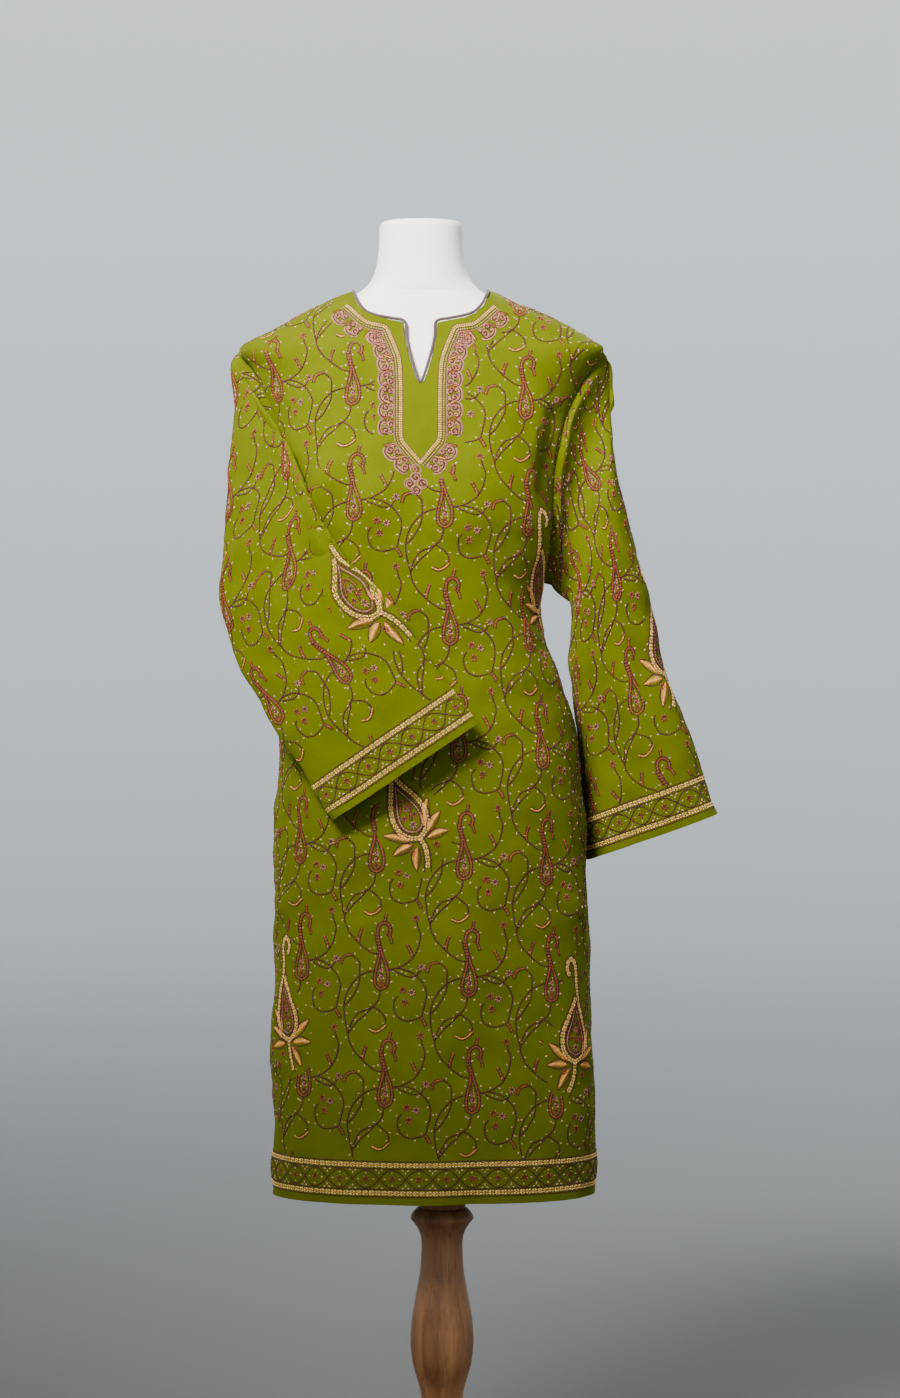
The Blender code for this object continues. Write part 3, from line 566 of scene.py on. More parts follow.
# %% [markdown]
# ## Soft unevenness
#
# Thick felted wool never hangs in a perfect surface. Every grid is pushed in and out by a slow
# swell and a smaller buckling, both worked out from the place in space, so that two pieces that
# meet at a seam move together. Creases are added on top where the cloth is pulled.
#
# The bent sleeve folds under at its armhole. There its outer layer is moved out first, to lie
# over the folded one. How much a point faces the front says which layer it belongs to.

# %% Swells and creases
SWELLS = ((120.0, 1.5, 11), (48.0, 0.7, 12), (21.0, 0.22, 13))  # wavelength, rise, seed
SWELL_WAVES = 14


def swell(points):
    """A soft uneven rise, continuous in space."""
    out = np.zeros(points.shape[:-1])
    for length, rise, seed in SWELLS:
        chance = np.random.default_rng(seed)
        for _ in range(SWELL_WAVES):
            way = chance.normal(size=3)
            way /= np.linalg.norm(way)
            wave = length * chance.uniform(0.7, 1.5)
            phase = chance.uniform(0, 2 * math.pi)
            turns = points @ way * 2 * math.pi / wave
            out += rise / math.sqrt(SWELL_WAVES / 2) * np.sin(turns + phase)
    return out


def grid_normals(grid, closed, flip):
    """Outward directions of a grid of points."""
    along = np.gradient(grid, axis=0)
    if closed:
        around = (np.roll(grid, -1, axis=1) - np.roll(grid, 1, axis=1)) / 2
    else:
        around = np.gradient(grid, axis=1)
    out = np.cross(around, along) * (-1 if flip else 1)
    return out / (np.linalg.norm(out, axis=-1)[..., None] + 1e-9)


LAYER_GAP = 4.5
LAYER_DEPTH = 14.0
LAYER_ROUNDS = 3
FREE_ROW = 20  # the first row past the fold at the armhole
FACES_FRONT = 0.02
FACING_FULL_GAP = 0.6  # points that face the front less than this keep a smaller gap
FACING_FULL_MOVE = 0.5  # and below this they also move less
IN_FRONT_Y = -400.0


def layers_apart(grid):
    """The outer layer of the bent sleeve, moved out where a folded layer would come through it."""
    rows, count = grid.shape[:2]
    out = grid.copy()
    for _ in range(LAYER_ROUNDS):
        facing = -grid_normals(out, True, True)[..., 1]
        quads = grid_quads(rows, count, closed=True)
        hidden = quads[(facing.reshape(-1)[quads] < 0).all(axis=1)]
        tree = BVHTree.FromPolygons(out.reshape(-1, 3).tolist(), hidden.tolist())
        need = np.zeros(grid.shape)
        for i, j in zip(*np.nonzero(facing > FACES_FRONT)):
            if i >= FREE_ROW:
                x, y, z = out[i, j].tolist()
                found = tree.ray_cast(Vector((x, IN_FRONT_Y, z)), Vector((0, 1, 0)))[0]
                gap = LAYER_GAP * min(1.0, float(facing[i, j]) / FACING_FULL_GAP)
                if found is not None and found.y - gap < y < found.y + LAYER_DEPTH:
                    need[i, j, 1] = found.y - gap - y
        outer = np.clip(facing / FACING_FULL_MOVE, 0, 1)[..., None]
        out = out + np.minimum(need, spread(need)) * outer
    print("outer layer moved out by up to", round(float(np.abs(out - grid).max()), 1), "mm")
    return out


right_grid = layers_apart(right_grid)

CLOTH_GRIDS = {
    "front_panel": (front_grid, False, False),
    "back_panel": (back_grid, False, True),
    "left_sleeve": (left_grid, True, False),
    "right_sleeve": (right_grid, True, True),
}
# A panel's creases, in flat millimetres from its middle and in height
FRONT_CREASES = (
    Fold(-205, 1235, -120, 1170, 10, 1.6),
    Fold(-60, 1010, 30, 985, 12, 1.2),
    Fold(90, 1055, 160, 1015, 9, 1.8),
    Fold(80, 1085, 165, 1060, 9, -1.4),
    Fold(60, 1000, 150, 960, 12, 1.2),
    Fold(-150, 740, -20, 724, 8, 1.0),
    Fold(20, 722, 150, 732, 8, 1.2),
    Fold(-40, 700, -30, 420, 26, 1.8),
    Fold(60, 690, 78, 410, 24, -1.8),
    Fold(150, 690, 160, 430, 20, 1.8),
)
BACK_CREASES = (
    Fold(-120, 1190, -40, 1140, 14, 2.0),
    Fold(120, 1190, 40, 1140, 14, 2.0),
    Fold(-150, 1075, -50, 1050, 11, 2.4),
    Fold(150, 1075, 50, 1050, 11, 2.4),
    Fold(-140, 1030, -40, 1020, 11, -2.0),
    Fold(140, 1030, 40, 1020, 11, -2.0),
    Fold(-80, 720, -90, 420, 26, 3.0),
    Fold(30, 730, 36, 420, 24, -2.6),
    Fold(120, 720, 128, 430, 24, 2.4),
)

print("swells of", [f"{length:.0f} mm" for length, _, _ in SWELLS])

# %% [markdown]
# Each point of a grid also knows where it was on the flat cloth, before it was sewn: how far it
# is from the piece's middle line, and how high. The weave and all of the embroidery are drawn in
# those flat coordinates.

# %% Flat coordinates
LEVEL_TOP = 1275.0  # below this, the flat height of a panel is its real height


def flat_panel(panel, grid, heights, columns, hand):
    """Across along the ring at each point's own height, and up along its own column."""
    share = columns / SHOULDER_TIP_X
    turn = panel.turn(np.repeat(share[None], len(grid), axis=0), heights)
    half_width = read_table(BODY_RINGS, "height", "half_width", heights)
    depth = read_table(BODY_RINGS, "height", panel.depth_name, heights)
    turns = math.pi / 2 + (turn - math.pi / 2)[..., None] * np.linspace(0, 1, 25)
    x, y = on_ring(half_width[..., None], depth[..., None], turns)
    length = np.hypot(np.diff(x, axis=-1), np.diff(y, axis=-1)).sum(axis=-1)
    across = length * np.sign(columns)[None] * hand
    rise = np.linalg.norm(np.diff(grid, axis=0), axis=-1)
    level = int(np.argmin(np.abs(heights[:, 0] - LEVEL_TOP)))
    high = heights.copy()
    high[level + 1 :] = LEVEL_TOP + np.cumsum(rise[level:], axis=0)
    return np.stack((across, high), axis=-1)


def flat_sleeve(grid, hand):
    """Across from the top line, and up from the cuff. The seam is under the arm."""
    half = grid.shape[1] // 2
    opened = np.concatenate((grid[:, half:], grid[:, : half + 1]), axis=1)
    step = np.linalg.norm(np.diff(opened, axis=1), axis=-1)
    run = np.concatenate((np.zeros((len(grid), 1)), np.cumsum(step, axis=1)), axis=1)
    across = (run - run[:, half : half + 1]) * hand
    rise = np.linalg.norm(np.diff(opened, axis=0), axis=-1)
    high = np.cumsum(rise[::-1], axis=0)[::-1]
    high = np.concatenate((high, np.zeros((1, opened.shape[1]))))
    return np.stack((across, high), axis=-1)


FLAT = {
    "front_panel": flat_panel(front, front_grid, front_heights, front_columns, 1),
    "back_panel": flat_panel(back, back_grid, back_heights, back_columns, -1),
    "left_sleeve": flat_sleeve(left_grid, -1),
    "right_sleeve": flat_sleeve(right_grid, 1),
}
hem_width = round(float(np.ptp(FLAT["front_panel"][0, :, 0])))
print("front from seam to seam at the hem", hem_width, "mm")

# %% [markdown]
# The four grids share the points along their seams, so they must also share the direction in
# which those points are pushed. The directions of two pieces are averaged where they meet.

# %% Directions shared along the seams
SHOULDER_POINTS = int(np.sum(split_evenly(SHOULDER_ACROSS, COLUMN_STEP) > 0))


def welded_normals(grids):
    out = {name: grid_normals(grids[name], *CLOTH_GRIDS[name][1:]) for name in grids}
    front_n, back_n = out["front_panel"], out["back_panel"]
    left_n, right_n = out["left_sleeve"], out["right_sleeve"]
    count = SHOULDER_POINTS
    for edge in (0, -1):
        mean = front_n[: underarm_row + 1, edge] + back_n[: underarm_row + 1, edge]
        front_n[: underarm_row + 1, edge] = back_n[: underarm_row + 1, edge] = mean
    for part in (slice(0, count), slice(-count, None)):
        mean = front_n[-1, part] + back_n[-1, part]
        front_n[-1, part] = back_n[-1, part] = mean
    for edge, sleeve in ((-1, left_n), (0, right_n)):
        rows = len(front_n) - underarm_row
        down = front_n[underarm_row:, edge][::-1]
        up = back_n[underarm_row:, edge]
        sleeve[0] += np.concatenate((down, up[1:-1]))
        front_n[underarm_row:, edge] = sleeve[0, :rows][::-1]
        back_n[underarm_row:, edge] = sleeve[0, np.r_[rows - 1 : sleeve.shape[1], 0]]
    for normals in out.values():
        normals /= np.linalg.norm(normals, axis=-1)[..., None]
    return out


CREASES = {"front_panel": FRONT_CREASES, "back_panel": BACK_CREASES}
SEAM_SINK = 0.9  # the sewn seams lie a little deeper than the cloth beside them


def relieved(name, normals):
    """A piece's grid with its swells and creases, which die out towards its seams."""
    grid, closed, _ = CLOTH_GRIDS[name]
    out = swell(grid)
    if name in CREASES:
        edge = 1 - np.abs(np.linspace(-1, 1, grid.shape[1])) ** 16
        across, high = FLAT[name][..., 0], FLAT[name][..., 1]
        out = out + edge[None] * sum(fold_rise(crease, across, high) for crease in CREASES[name])
        out[:, (0, -1)] -= SEAM_SINK
        half = grid.shape[1] // 2
        sewn = np.abs(np.arange(grid.shape[1]) - half) >= half - SHOULDER_POINTS + 1
        sewn[[0, -1]] = False
        out[-1, sewn] -= SEAM_SINK
    if closed:
        out[0] -= SEAM_SINK
    return grid + normals * out[..., None]


base_normals = welded_normals({name: CLOTH_GRIDS[name][0] for name in CLOTH_GRIDS})
GRIDS = {name: relieved(name, base_normals[name]) for name in CLOTH_GRIDS}
NORMALS = welded_normals(GRIDS)
print("seams welded:", SHOULDER_POINTS, "points on each shoulder")

# %% [markdown]
# ## Materials
#
# The wool is a felted plain weave: a fine bump of threads, a cloud of stray fibres that catch
# light at the edge (sheen), and a colour that drifts a little. The weave follows the flat
# coordinates, which are stored as a UV map in metres. What several materials need is a node group.

# %% Small helpers for node trees
def new_group(name, inputs, outputs):
    """A shader node group with float, colour or vector sockets."""
    group = bpy.data.node_groups.new(name, "ShaderNodeTree")
    for label, kind, value in inputs:
        socket = group.interface.new_socket(label, in_out="INPUT", socket_type="NodeSocket" + kind)
        if value is not None:
            socket.default_value = value
    for label, kind in outputs:
        group.interface.new_socket(label, in_out="OUTPUT", socket_type="NodeSocket" + kind)
    return group, group.nodes.new("NodeGroupInput"), group.nodes.new("NodeGroupOutput")


def put(tree, kind, **settings):
    """A node, with its properties and its unlinked inputs set by name."""
    node = tree.nodes.new(kind)
    for key, value in settings.items():
        if key in node.inputs.keys():
            node.inputs[key].default_value = value
        else:
            setattr(node, key, value)
    return node


def math_node(tree, operation, first, second):
    node = put(tree, "ShaderNodeMath", operation=operation)
    for socket, value in zip(node.inputs, (first, second)):
        if isinstance(value, (int, float)):
            socket.default_value = value
        else:
            tree.links.new(value, socket)
    return node.outputs[0]


def mix_colour(tree, factor, first, second, blend="MIX"):
    node = put(tree, "ShaderNodeMix", data_type="RGBA", blend_type=blend)
    for number, value in ((0, factor), (6, first), (7, second)):
        socket = node.inputs[number]
        if isinstance(value, (int, float)):
            socket.default_value = value
        elif isinstance(value, tuple):
            socket.default_value = (*value, 1)
        else:
            tree.links.new(value, socket)
    return node.outputs[2]


def new_material(name, colour, roughness, **settings):
    """A material with one Principled BSDF; settings go to the shader's own sockets."""
    made = bpy.data.materials.new(name)
    made.use_nodes = True
    made.diffuse_color = (*colour, 1)
    shader = made.node_tree.nodes["Principled BSDF"]
    shader.inputs["Base Color"].default_value = (*colour, 1)
    shader.inputs["Roughness"].default_value = roughness
    for key, value in settings.items():
        label = key.replace("_", " ").title().replace("Ior", "IOR")
        shader.inputs[label].default_value = value
    return made, made.node_tree, shader


def bump(tree, shader, height, strength, distance):
    node = put(tree, "ShaderNodeBump", Strength=strength, Distance=distance)
    tree.links.new(height, node.inputs["Height"])
    tree.links.new(node.outputs[0], shader.inputs["Normal"])


# %% Weave, mottling and fibres as node groups
weave, inside, outside = new_group(
    "weave",
    [("Vector", "Vector", None), ("Thread", "Float", 0.0009), ("Unevenness", "Float", 0.35)],
    [("Height", "Float"), ("Cover", "Float")],
)
apart = put(weave, "ShaderNodeSeparateXYZ")
drift = put(weave, "ShaderNodeTexNoise", Scale=260.0, Detail=2.0)
weave.links.new(inside.outputs["Vector"], drift.inputs["Vector"])
weave.links.new(inside.outputs["Vector"], apart.inputs[0])
wobble = math_node(weave, "MULTIPLY", math_node(weave, "SUBTRACT", drift.outputs[0], 0.5), 3.2)
wobble = math_node(weave, "MULTIPLY", wobble, inside.outputs["Unevenness"])
turns = math_node(weave, "DIVIDE", math.pi, inside.outputs["Thread"])
waves = []
for axis in (0, 1):
    turn = math_node(weave, "ADD", math_node(weave, "MULTIPLY", apart.outputs[axis], turns), wobble)
    waves.append(math_node(weave, "SINE", turn, 0.0))
over = math_node(weave, "MULTIPLY", waves[0], waves[1])
high = math_node(weave, "ADD", math_node(weave, "MULTIPLY", over, 0.5), 0.5)
weave.links.new(high, outside.inputs["Height"])
# Painted light share: 1 on the thread tops and 0 in the hollows between them; the wool and the
# piping paint shade into their colour with it.
weave.links.new(math_node(weave, "POWER", high, 0.6), outside.inputs["Cover"])

mottle, inside, outside = new_group(
    "mottle",
    [
        ("Vector", "Vector", None),
        ("Colour", "Color", (1, 1, 1, 1)),
        ("Amount", "Float", 0.15),
        ("Scale", "Float", 30.0),
    ],
    [("Colour", "Color"), ("Mask", "Float")],
)
cloud = put(mottle, "ShaderNodeTexNoise", Detail=5.0, Roughness=0.6)
mottle.links.new(inside.outputs["Vector"], cloud.inputs["Vector"])
mottle.links.new(inside.outputs["Scale"], cloud.inputs["Scale"])
spread_out = math_node(mottle, "SUBTRACT", cloud.outputs[0], 0.5)
spread_out = math_node(mottle, "MULTIPLY", spread_out, 4.0)
gain = math_node(mottle, "MULTIPLY", spread_out, inside.outputs["Amount"])
gain = math_node(mottle, "ADD", gain, 1.0)
scaled = put(mottle, "ShaderNodeVectorMath", operation="SCALE")
mottle.links.new(inside.outputs["Colour"], scaled.inputs[0])
mottle.links.new(gain, scaled.inputs["Scale"])
mottle.links.new(scaled.outputs[0], outside.inputs["Colour"])
mottle.links.new(cloud.outputs[0], outside.inputs["Mask"])


def use_group(tree, group, **values):
    node = put(tree, "ShaderNodeGroup", node_tree=group)
    for key, value in values.items():
        if isinstance(value, bpy.types.NodeSocket):
            tree.links.new(value, node.inputs[key])
        else:
            node.inputs[key].default_value = value
    return node


print("node groups:", [g.name for g in bpy.data.node_groups])

# %% Green wool
GREEN = (0.088, 0.104, 0.0004)


def wool_material():
    made, tree, shader = new_material(
        "green_wool", GREEN, 0.95, sheen_weight=0.10, sheen_roughness=0.5, specular_ior_level=0.06
    )
    shader.inputs["Sheen Tint"].default_value = (0.7, 0.8, 0.1, 1)
    flat = put(tree, "ShaderNodeUVMap", uv_map="flat")
    threads = use_group(tree, weave, Vector=flat.outputs[0], Thread=0.0011, Unevenness=0.9)
    slow = use_group(
        tree, mottle, Vector=flat.outputs[0], Colour=(*GREEN, 1), Amount=0.10, Scale=22.0
    )
    cloudy = slow.outputs["Colour"]
    fine = use_group(
        tree, mottle, Vector=flat.outputs[0], Colour=cloudy, Amount=0.22, Scale=900.0
    )
    # Painted shade in the hollows of the weave, the colour times 0.62, and a faint painted
    # highlight on the thread tops, times 1.05.
    dark = mix_colour(tree, threads.outputs["Cover"], (0.62, 0.62, 0.55), (1.05, 1.05, 1.0))
    colour = mix_colour(tree, 1.0, fine.outputs["Colour"], dark, "MULTIPLY")
    tree.links.new(colour, shader.inputs["Base Color"])
    fuzz = put(tree, "ShaderNodeTexNoise", Scale=1400.0, Detail=3.0)
    tree.links.new(flat.outputs[0], fuzz.inputs["Vector"])
    stray = math_node(tree, "MULTIPLY", fuzz.outputs[0], 0.9)
    height = math_node(tree, "ADD", threads.outputs["Height"], stray)
    bump(tree, shader, height, 0.75, 0.0004)
    return made


green_wool = wool_material()
print("wool", GREEN)

# %% [markdown]
# ## The cloth pieces
#
# Each piece is a shell two millimetres thick: the outer grid, the same grid moved inwards, and
# rims that join them. It is closed, so it looks right from inside the hem and the cuffs as well.

# %% Shells
SEAM_GAP = 0.3
HEM_TURNED = 20.0  # counted in the cut length for the turning at hem and cuffs, not built


def cut_of(name):
    """The width and length of the flat piece, and its area, in metres."""
    grid, flat = GRIDS[name], FLAT[name]
    edges = [grid[1:, :-1] - grid[:-1, :-1], grid[:-1, 1:] - grid[:-1, :-1]]
    area = np.linalg.norm(np.cross(*edges), axis=-1).sum()
    width, length = np.ptp(flat[..., 0]), np.ptp(flat[..., 1]) + HEM_TURNED
    return (float(width) * MM, float(length) * MM), float(area) * MM * MM


def half_gap(edge, next_ones):
    """Moves that take the points of an edge half a seam gap towards the next ones."""
    step = next_ones - edge
    return step / np.linalg.norm(step, axis=-1)[..., None] * SEAM_GAP / 2


def drawn_in(grid, closed):
    """The grid with its seam edges moved half a gap into the piece."""
    out = grid.copy()
    if closed:
        out[0] += half_gap(grid[0], grid[1])
        return out
    for edge, beside_it in ((0, 1), (-1, -2)):
        out[:, edge] += half_gap(grid[:, edge], grid[:, beside_it])
    out[-1] += half_gap(grid[-1], grid[-2])
    return out


def add_object(name, mesh, material):
    made = bpy.data.objects.new(name, mesh)
    bpy.context.scene.collection.objects.link(made)
    mesh.materials.append(material)
    return made


def cloth_shell(name):
    grid, normals, flat = GRIDS[name], NORMALS[name], FLAT[name]
    closed, flip = CLOTH_GRIDS[name][1:]
    rows, count = grid.shape[:2]
    outer = drawn_in(grid, closed)
    points = np.concatenate((outer.reshape(-1, 3), (outer - CLOTH * normals).reshape(-1, 3))) * MM
    quads = grid_quads(rows, flat.shape[1], flip=flip)
    flat_ids = quads.copy()
    if closed:
        row, place = np.divmod(quads, flat.shape[1])
        quads = row * count + (place + count // 2) % count
    inner = quads[:, ::-1] + rows * count
    ring = np.arange(count if closed else count - 1)
    rims = []
    for row, far in ((0, False), (rows - 1, True)):
        a, b = row * count + ring, row * count + (ring + 1) % count
        rims.append((a, b) if far == flip else (b, a))
    if not closed:
        for place in (0, count - 1):
            a = np.arange(rows - 1) * count + place
            rims.append((a + count, a) if (place == 0) == flip else (a, a + count))
    rim = [np.stack((b + rows * count, a + rows * count, a, b), -1) for a, b in rims]
    rim = np.concatenate(rim)
    faces = np.concatenate((quads, inner, rim))
    rim_ids = rim % (rows * count)
    if closed:
        row, place = np.divmod(rim_ids, count)
        rim_ids = row * flat.shape[1] + (place - count // 2) % count
    uv_ids = np.concatenate((flat_ids, flat_ids[:, ::-1], rim_ids))
    mesh = bpy.data.meshes.new(name + "_cloth")
    mesh.from_pydata(points.tolist(), [], faces.tolist())
    layer = mesh.uv_layers.new(name="flat")
    layer.data.foreach_set("uv", (flat.reshape(-1, 2)[uv_ids.ravel()] * MM).ravel())
    mesh.validate()
    mesh.shade_smooth()
    mesh.set_sharp_from_angle(angle=math.radians(55))
    return add_object(name + "_cloth", mesh, green_wool)


shells = {name: cloth_shell(name) for name in CLOTH_GRIDS}
CUTS = {name: cut_of(name) for name in shells}
for name, (size, area) in CUTS.items():
    print(name, "cut", [round(v, 3) for v in size], "m, area", round(area, 3), "square metres")

# %% [markdown]
# ## Piping round the neck
#
# A narrow cord covered in mauve-brown cloth is sewn into the neckline and round its slit. It is
# a tube along the neck edge, with a fine diagonal ridge from the bias cut of its cover.

# %% Piping
PIPING_RADIUS = 1.7
PIPING_SET_OFF = 2.3
PIPING_STEP = 1.6


def set_off(line, distance):
    """A line in the panel's own plane, moved sideways towards the neck."""
    moved = []
    for i, (x, z) in enumerate(line):
        before = line[max(i - 1, 0)]
        after = line[min(i + 1, len(line) - 1)]
        run = np.array((after[0] - before[0], after[1] - before[1]), float)
        run /= np.linalg.norm(run)
        moved.append((x - run[1] * distance, z + run[0] * distance))
    return np.array(moved)


def neck_path():
    half = [tuple(p) for p in FRONT_NECKLINE] + [tuple(NECK_POINT)]
    line = set_off([(-x, z) for x, z in reversed(half) if x > 0] + half, PIPING_SET_OFF)
    path = [front.points(line[:, 0] / SHOULDER_TIP_X, line[:, 1])]
    half = [tuple(p) for p in BACK_NECKLINE]
    line = [(x, z) for x, z in reversed(half)] + [(-x, z) for x, z in half if x > 0]
    line = set_off(line, -PIPING_SET_OFF)
    path.append(back.points(line[:, 0] / SHOULDER_TIP_X, line[:, 1]))
    return np.concatenate(path)


def points_at(line, run, at):
    """Points of a line, at lengths along it."""
    return np.stack([np.interp(at, run, line[:, k]) for k in range(line.shape[1])], axis=-1)


def run_of(line):
    """The length of a line up to each of its points."""
    return np.concatenate(([0], np.cumsum(np.linalg.norm(np.diff(line, axis=0), axis=1))))


def rounded_line(points, step, closed=False):
    """Points at equal steps along a smooth curve through the given ones."""
    points = np.asarray(points, float)
    if closed:
        padded = np.concatenate((points[-2:], points, points[:3]))
    else:
        before, after = 2 * points[:1] - points[1:2], 2 * points[-1:] - points[-2:-1]
        padded = np.concatenate((before, points, after))
    samples = []
    t = np.linspace(0, 1, 24, endpoint=False)[:, None]
    first, last = (1, len(points) + 1) if closed else (0, len(points) - 1)
    for i in range(first, last):
        a, b, c, d = padded[i : i + 4]
        squared, cubed = 2 * a - 5 * b + 4 * c - d, 3 * b - a - 3 * c + d
        samples.append(0.5 * (2 * b + (c - a) * t + squared * t**2 + cubed * t**3))
    samples.append(samples[0][:1] if closed else points[-1:])
    line = np.concatenate(samples)
    run = run_of(line)
    count = max(2, int(round(run[-1] / step)) + 1)
    return points_at(line, run, np.linspace(0, run[-1], count))


def tube(name, path, radius, sides, material, closed):
    """A tube along a path of points, with its lengths stored as a UV map."""
    path = path[:-1] if closed else path
    along = np.roll(path, -1, axis=0) - np.roll(path, 1, axis=0)
    along /= np.linalg.norm(along, axis=1)[:, None]
    side = np.cross(along, (0, 1, 0.2))
    side /= np.linalg.norm(side, axis=1)[:, None]
    other = np.cross(along, side)
    turn = np.linspace(0, 2 * math.pi, sides, endpoint=False)[None, :, None]
    ring = np.cos(turn) * side[:, None] + np.sin(turn) * other[:, None]
    points = path[:, None] + radius * ring
    rows = len(path)
    i, j = np.meshgrid(np.arange(rows), np.arange(sides), indexing="ij")
    k, m = (i + 1) % rows, (j + 1) % sides
    here, ahead = i * sides, k * sides
    quads = np.stack((here + j, here + m, ahead + m, ahead + j), -1).reshape(-1, 4)
    mesh = bpy.data.meshes.new(name)
    mesh.from_pydata((points.reshape(-1, 3) * MM).tolist(), [], quads.tolist())
    round_mm = 2 * math.pi * radius
    u = np.stack((j, j + 1, j + 1, j), -1).reshape(-1, 4) / sides * round_mm
    v = np.stack((i, i, i + 1, i + 1), -1).reshape(-1, 4) * PIPING_STEP
    layer = mesh.uv_layers.new(name="flat")
    layer.data.foreach_set("uv", (np.stack((u, v), -1) * MM).ravel())
    mesh.shade_smooth()
    return add_object(name, mesh, material)


def piping_material():
    colour = (0.060, 0.028, 0.026)
    made, tree, shader = new_material("mauve_piping", colour, 0.75, sheen_weight=0.2)
    flat = put(tree, "ShaderNodeUVMap", uv_map="flat")
    threads = use_group(tree, weave, Vector=flat.outputs[0], Thread=0.0005, Unevenness=0.4)
    slow = use_group(
        tree, mottle, Vector=flat.outputs[0], Colour=(*colour, 1), Amount=0.3, Scale=120.0
    )
    # Painted shade in the hollows of the cord's weave, the colour times 0.6, and a painted
    # highlight on the thread tops, times 1.1.
    dark = mix_colour(tree, threads.outputs["Cover"], (0.6, 0.6, 0.6), (1.1, 1.1, 1.1))
    mixed = mix_colour(tree, 1.0, slow.outputs["Colour"], dark, "MULTIPLY")
    tree.links.new(mixed, shader.inputs["Base Color"])
    bump(tree, shader, threads.outputs["Height"], 0.6, 0.0003)
    return made


piping = tube(
    "piping_cord",
    rounded_line(neck_path(), PIPING_STEP, closed=True),
    PIPING_RADIUS,
    12,
    piping_material(),
    closed=True,
)
print("piping faces", len(piping.data.polygons))

# %% [markdown]
# ## The dress form
#
# The form is a foam torso in a tight cotton cover. Most of it hides under the wool, but its neck
# shows, and its lower edge prints through the skirt. The cover has a seam round the neck's foot
# and one down the middle, sunk a little into the foam.

# %% Form
FormRing = namedtuple("FormRing", "height half_width front back middle_x middle_y")
FORM_RINGS = (
    FormRing(712, 160, 98, 104, -12, 0),
    FormRing(716, 165, 103, 108, -12, 0),
    FormRing(760, 171, 110, 115, -13, 0),
    FormRing(810, 172, 114, 118, -13, 0),
    FormRing(880, 165, 110, 109, -15, 0),
    FormRing(950, 147, 100, 97, -17, 0),
    FormRing(1010, 129, 92, 90, -19, 0),
    FormRing(1055, 124, 92, 90, -21, 0),
    FormRing(1110, 133, 104, 97, -22, 0),
    FormRing(1165, 144, 112, 103, -23, 0),
    FormRing(1210, 148, 109, 105, -24, 0),
    FormRing(1255, 152, 101, 103, -24, 0),
    FormRing(1300, 163, 91, 96, -24, 0),
    FormRing(1330, 180, 82, 86, -24, 0),
)
FORM_SHOULDER_HEIGHTS = (1345, 1354, 1363, 1373, 1384, 1395, 1404, 1411)
FORM_DROP = 3.2
FORM_DEPTH_INSET = 4.5
FORM_TIP_Z = 1367.0
FORM_SQUARENESS = 2.1
FORM_NECK = (
    FormRing(1417.5, 74, 55, 57, -24, 0),
    FormRing(1424, 64.5, 54, 55, -24, -1),
    FormRing(1437, 55, 51, 52, -24, -3),
    FormRing(1455, 50, 48.5, 49, -24, -5),
    FormRing(1478, 48, 47.5, 47.5, -24, -6),
    FormRing(1495, 47.5, 47, 47, -24, -6),
    FormRing(1498, 45, 44.5, 44.5, -24, -6),
)
FORM_AROUND = 120
NECK_SEAM_Z = 1416.5
SEAM_DEPTH = 0.5
SEAM_HALF_WIDTH = 0.9


def shoulder_ring(height):
    above = height + FORM_DROP
    read = {n: float(read_table(BODY_RINGS, "height", n, above)) for n in BodyRing._fields[1:]}
    return FormRing(
        height,
        read["half_width"] - max(0.0, FORM_TIP_Z - height) * 1.1,
        read["front"] - FORM_DEPTH_INSET,
        read["back"] - FORM_DEPTH_INSET,
        read["middle_x"],
        0,
    )


def form_points(rings, heights, around):
    read = {n: read_table(rings, "height", n, heights)[:, None] for n in FormRing._fields[1:]}
    turn = around[None, :]
    front_side = np.sin(turn) < 0
    depth = np.where(front_side, read["front"], read["back"])
    fullness = 2 / FORM_SQUARENESS
    x = read["half_width"] * np.sign(np.cos(turn)) * np.abs(np.cos(turn)) ** fullness
    y = depth * np.sign(np.sin(turn)) * np.abs(np.sin(turn)) ** fullness
    place = (np.abs(x) - BUST_X) / BUST_WIDTH
    rise = (heights[:, None] - BUST_Z) / BUST_HEIGHT
    bust = BUST_RISE * np.exp(-(place**2) - rise**2) * np.abs(np.sin(turn))
    y = y - np.where(front_side, bust, 0)
    z = np.repeat(heights[:, None], turn.shape[1], axis=1)
    return np.stack((read["middle_x"] + x, read["middle_y"] + y, z), axis=-1)


def form_cover():
    rings = FORM_RINGS + tuple(shoulder_ring(h) for h in FORM_SHOULDER_HEIGHTS) + FORM_NECK
    knots = [r.height for r in rings]
    fine = [NECK_SEAM_Z + d for d in (-1.8, -0.9, -0.4, 0, 0.4, 0.9)]
    heights = np.array(sorted(set(np.round(np.concatenate((split_evenly(knots, 5.0), fine)), 3))))
    turns = np.linspace(0, 2 * math.pi, FORM_AROUND, endpoint=False) - math.pi / 2
    beside = [SEAM_HALF_WIDTH / 50 * s for s in (-2, -1, -0.5, 0.5, 1, 2)]
    turns = np.array(sorted(set(np.round(np.append(turns, [b - math.pi / 2 for b in beside]), 5))))
    grid = form_points(rings, heights, turns)
    middle = np.stack((grid[..., 0].mean(axis=1), grid[..., 1].mean(axis=1), heights), -1)[:, None]
    out = grid - middle
    out[..., 2] = 0
    out /= np.linalg.norm(out, axis=-1)[..., None]
    neck_seam = np.exp(-(((heights - NECK_SEAM_Z) / SEAM_HALF_WIDTH) ** 2))[:, None]
    off = np.abs((turns + math.pi / 2 + math.pi) % (2 * math.pi) - math.pi) * 50
    centre_seam = np.exp(-((off / SEAM_HALF_WIDTH) ** 2))[None]
    centre_seam = centre_seam * soft_step(1300, 1320, heights)[:, None]
    return grid - out * (SEAM_DEPTH * np.maximum(neck_seam, 0.5 * centre_seam))[..., None]


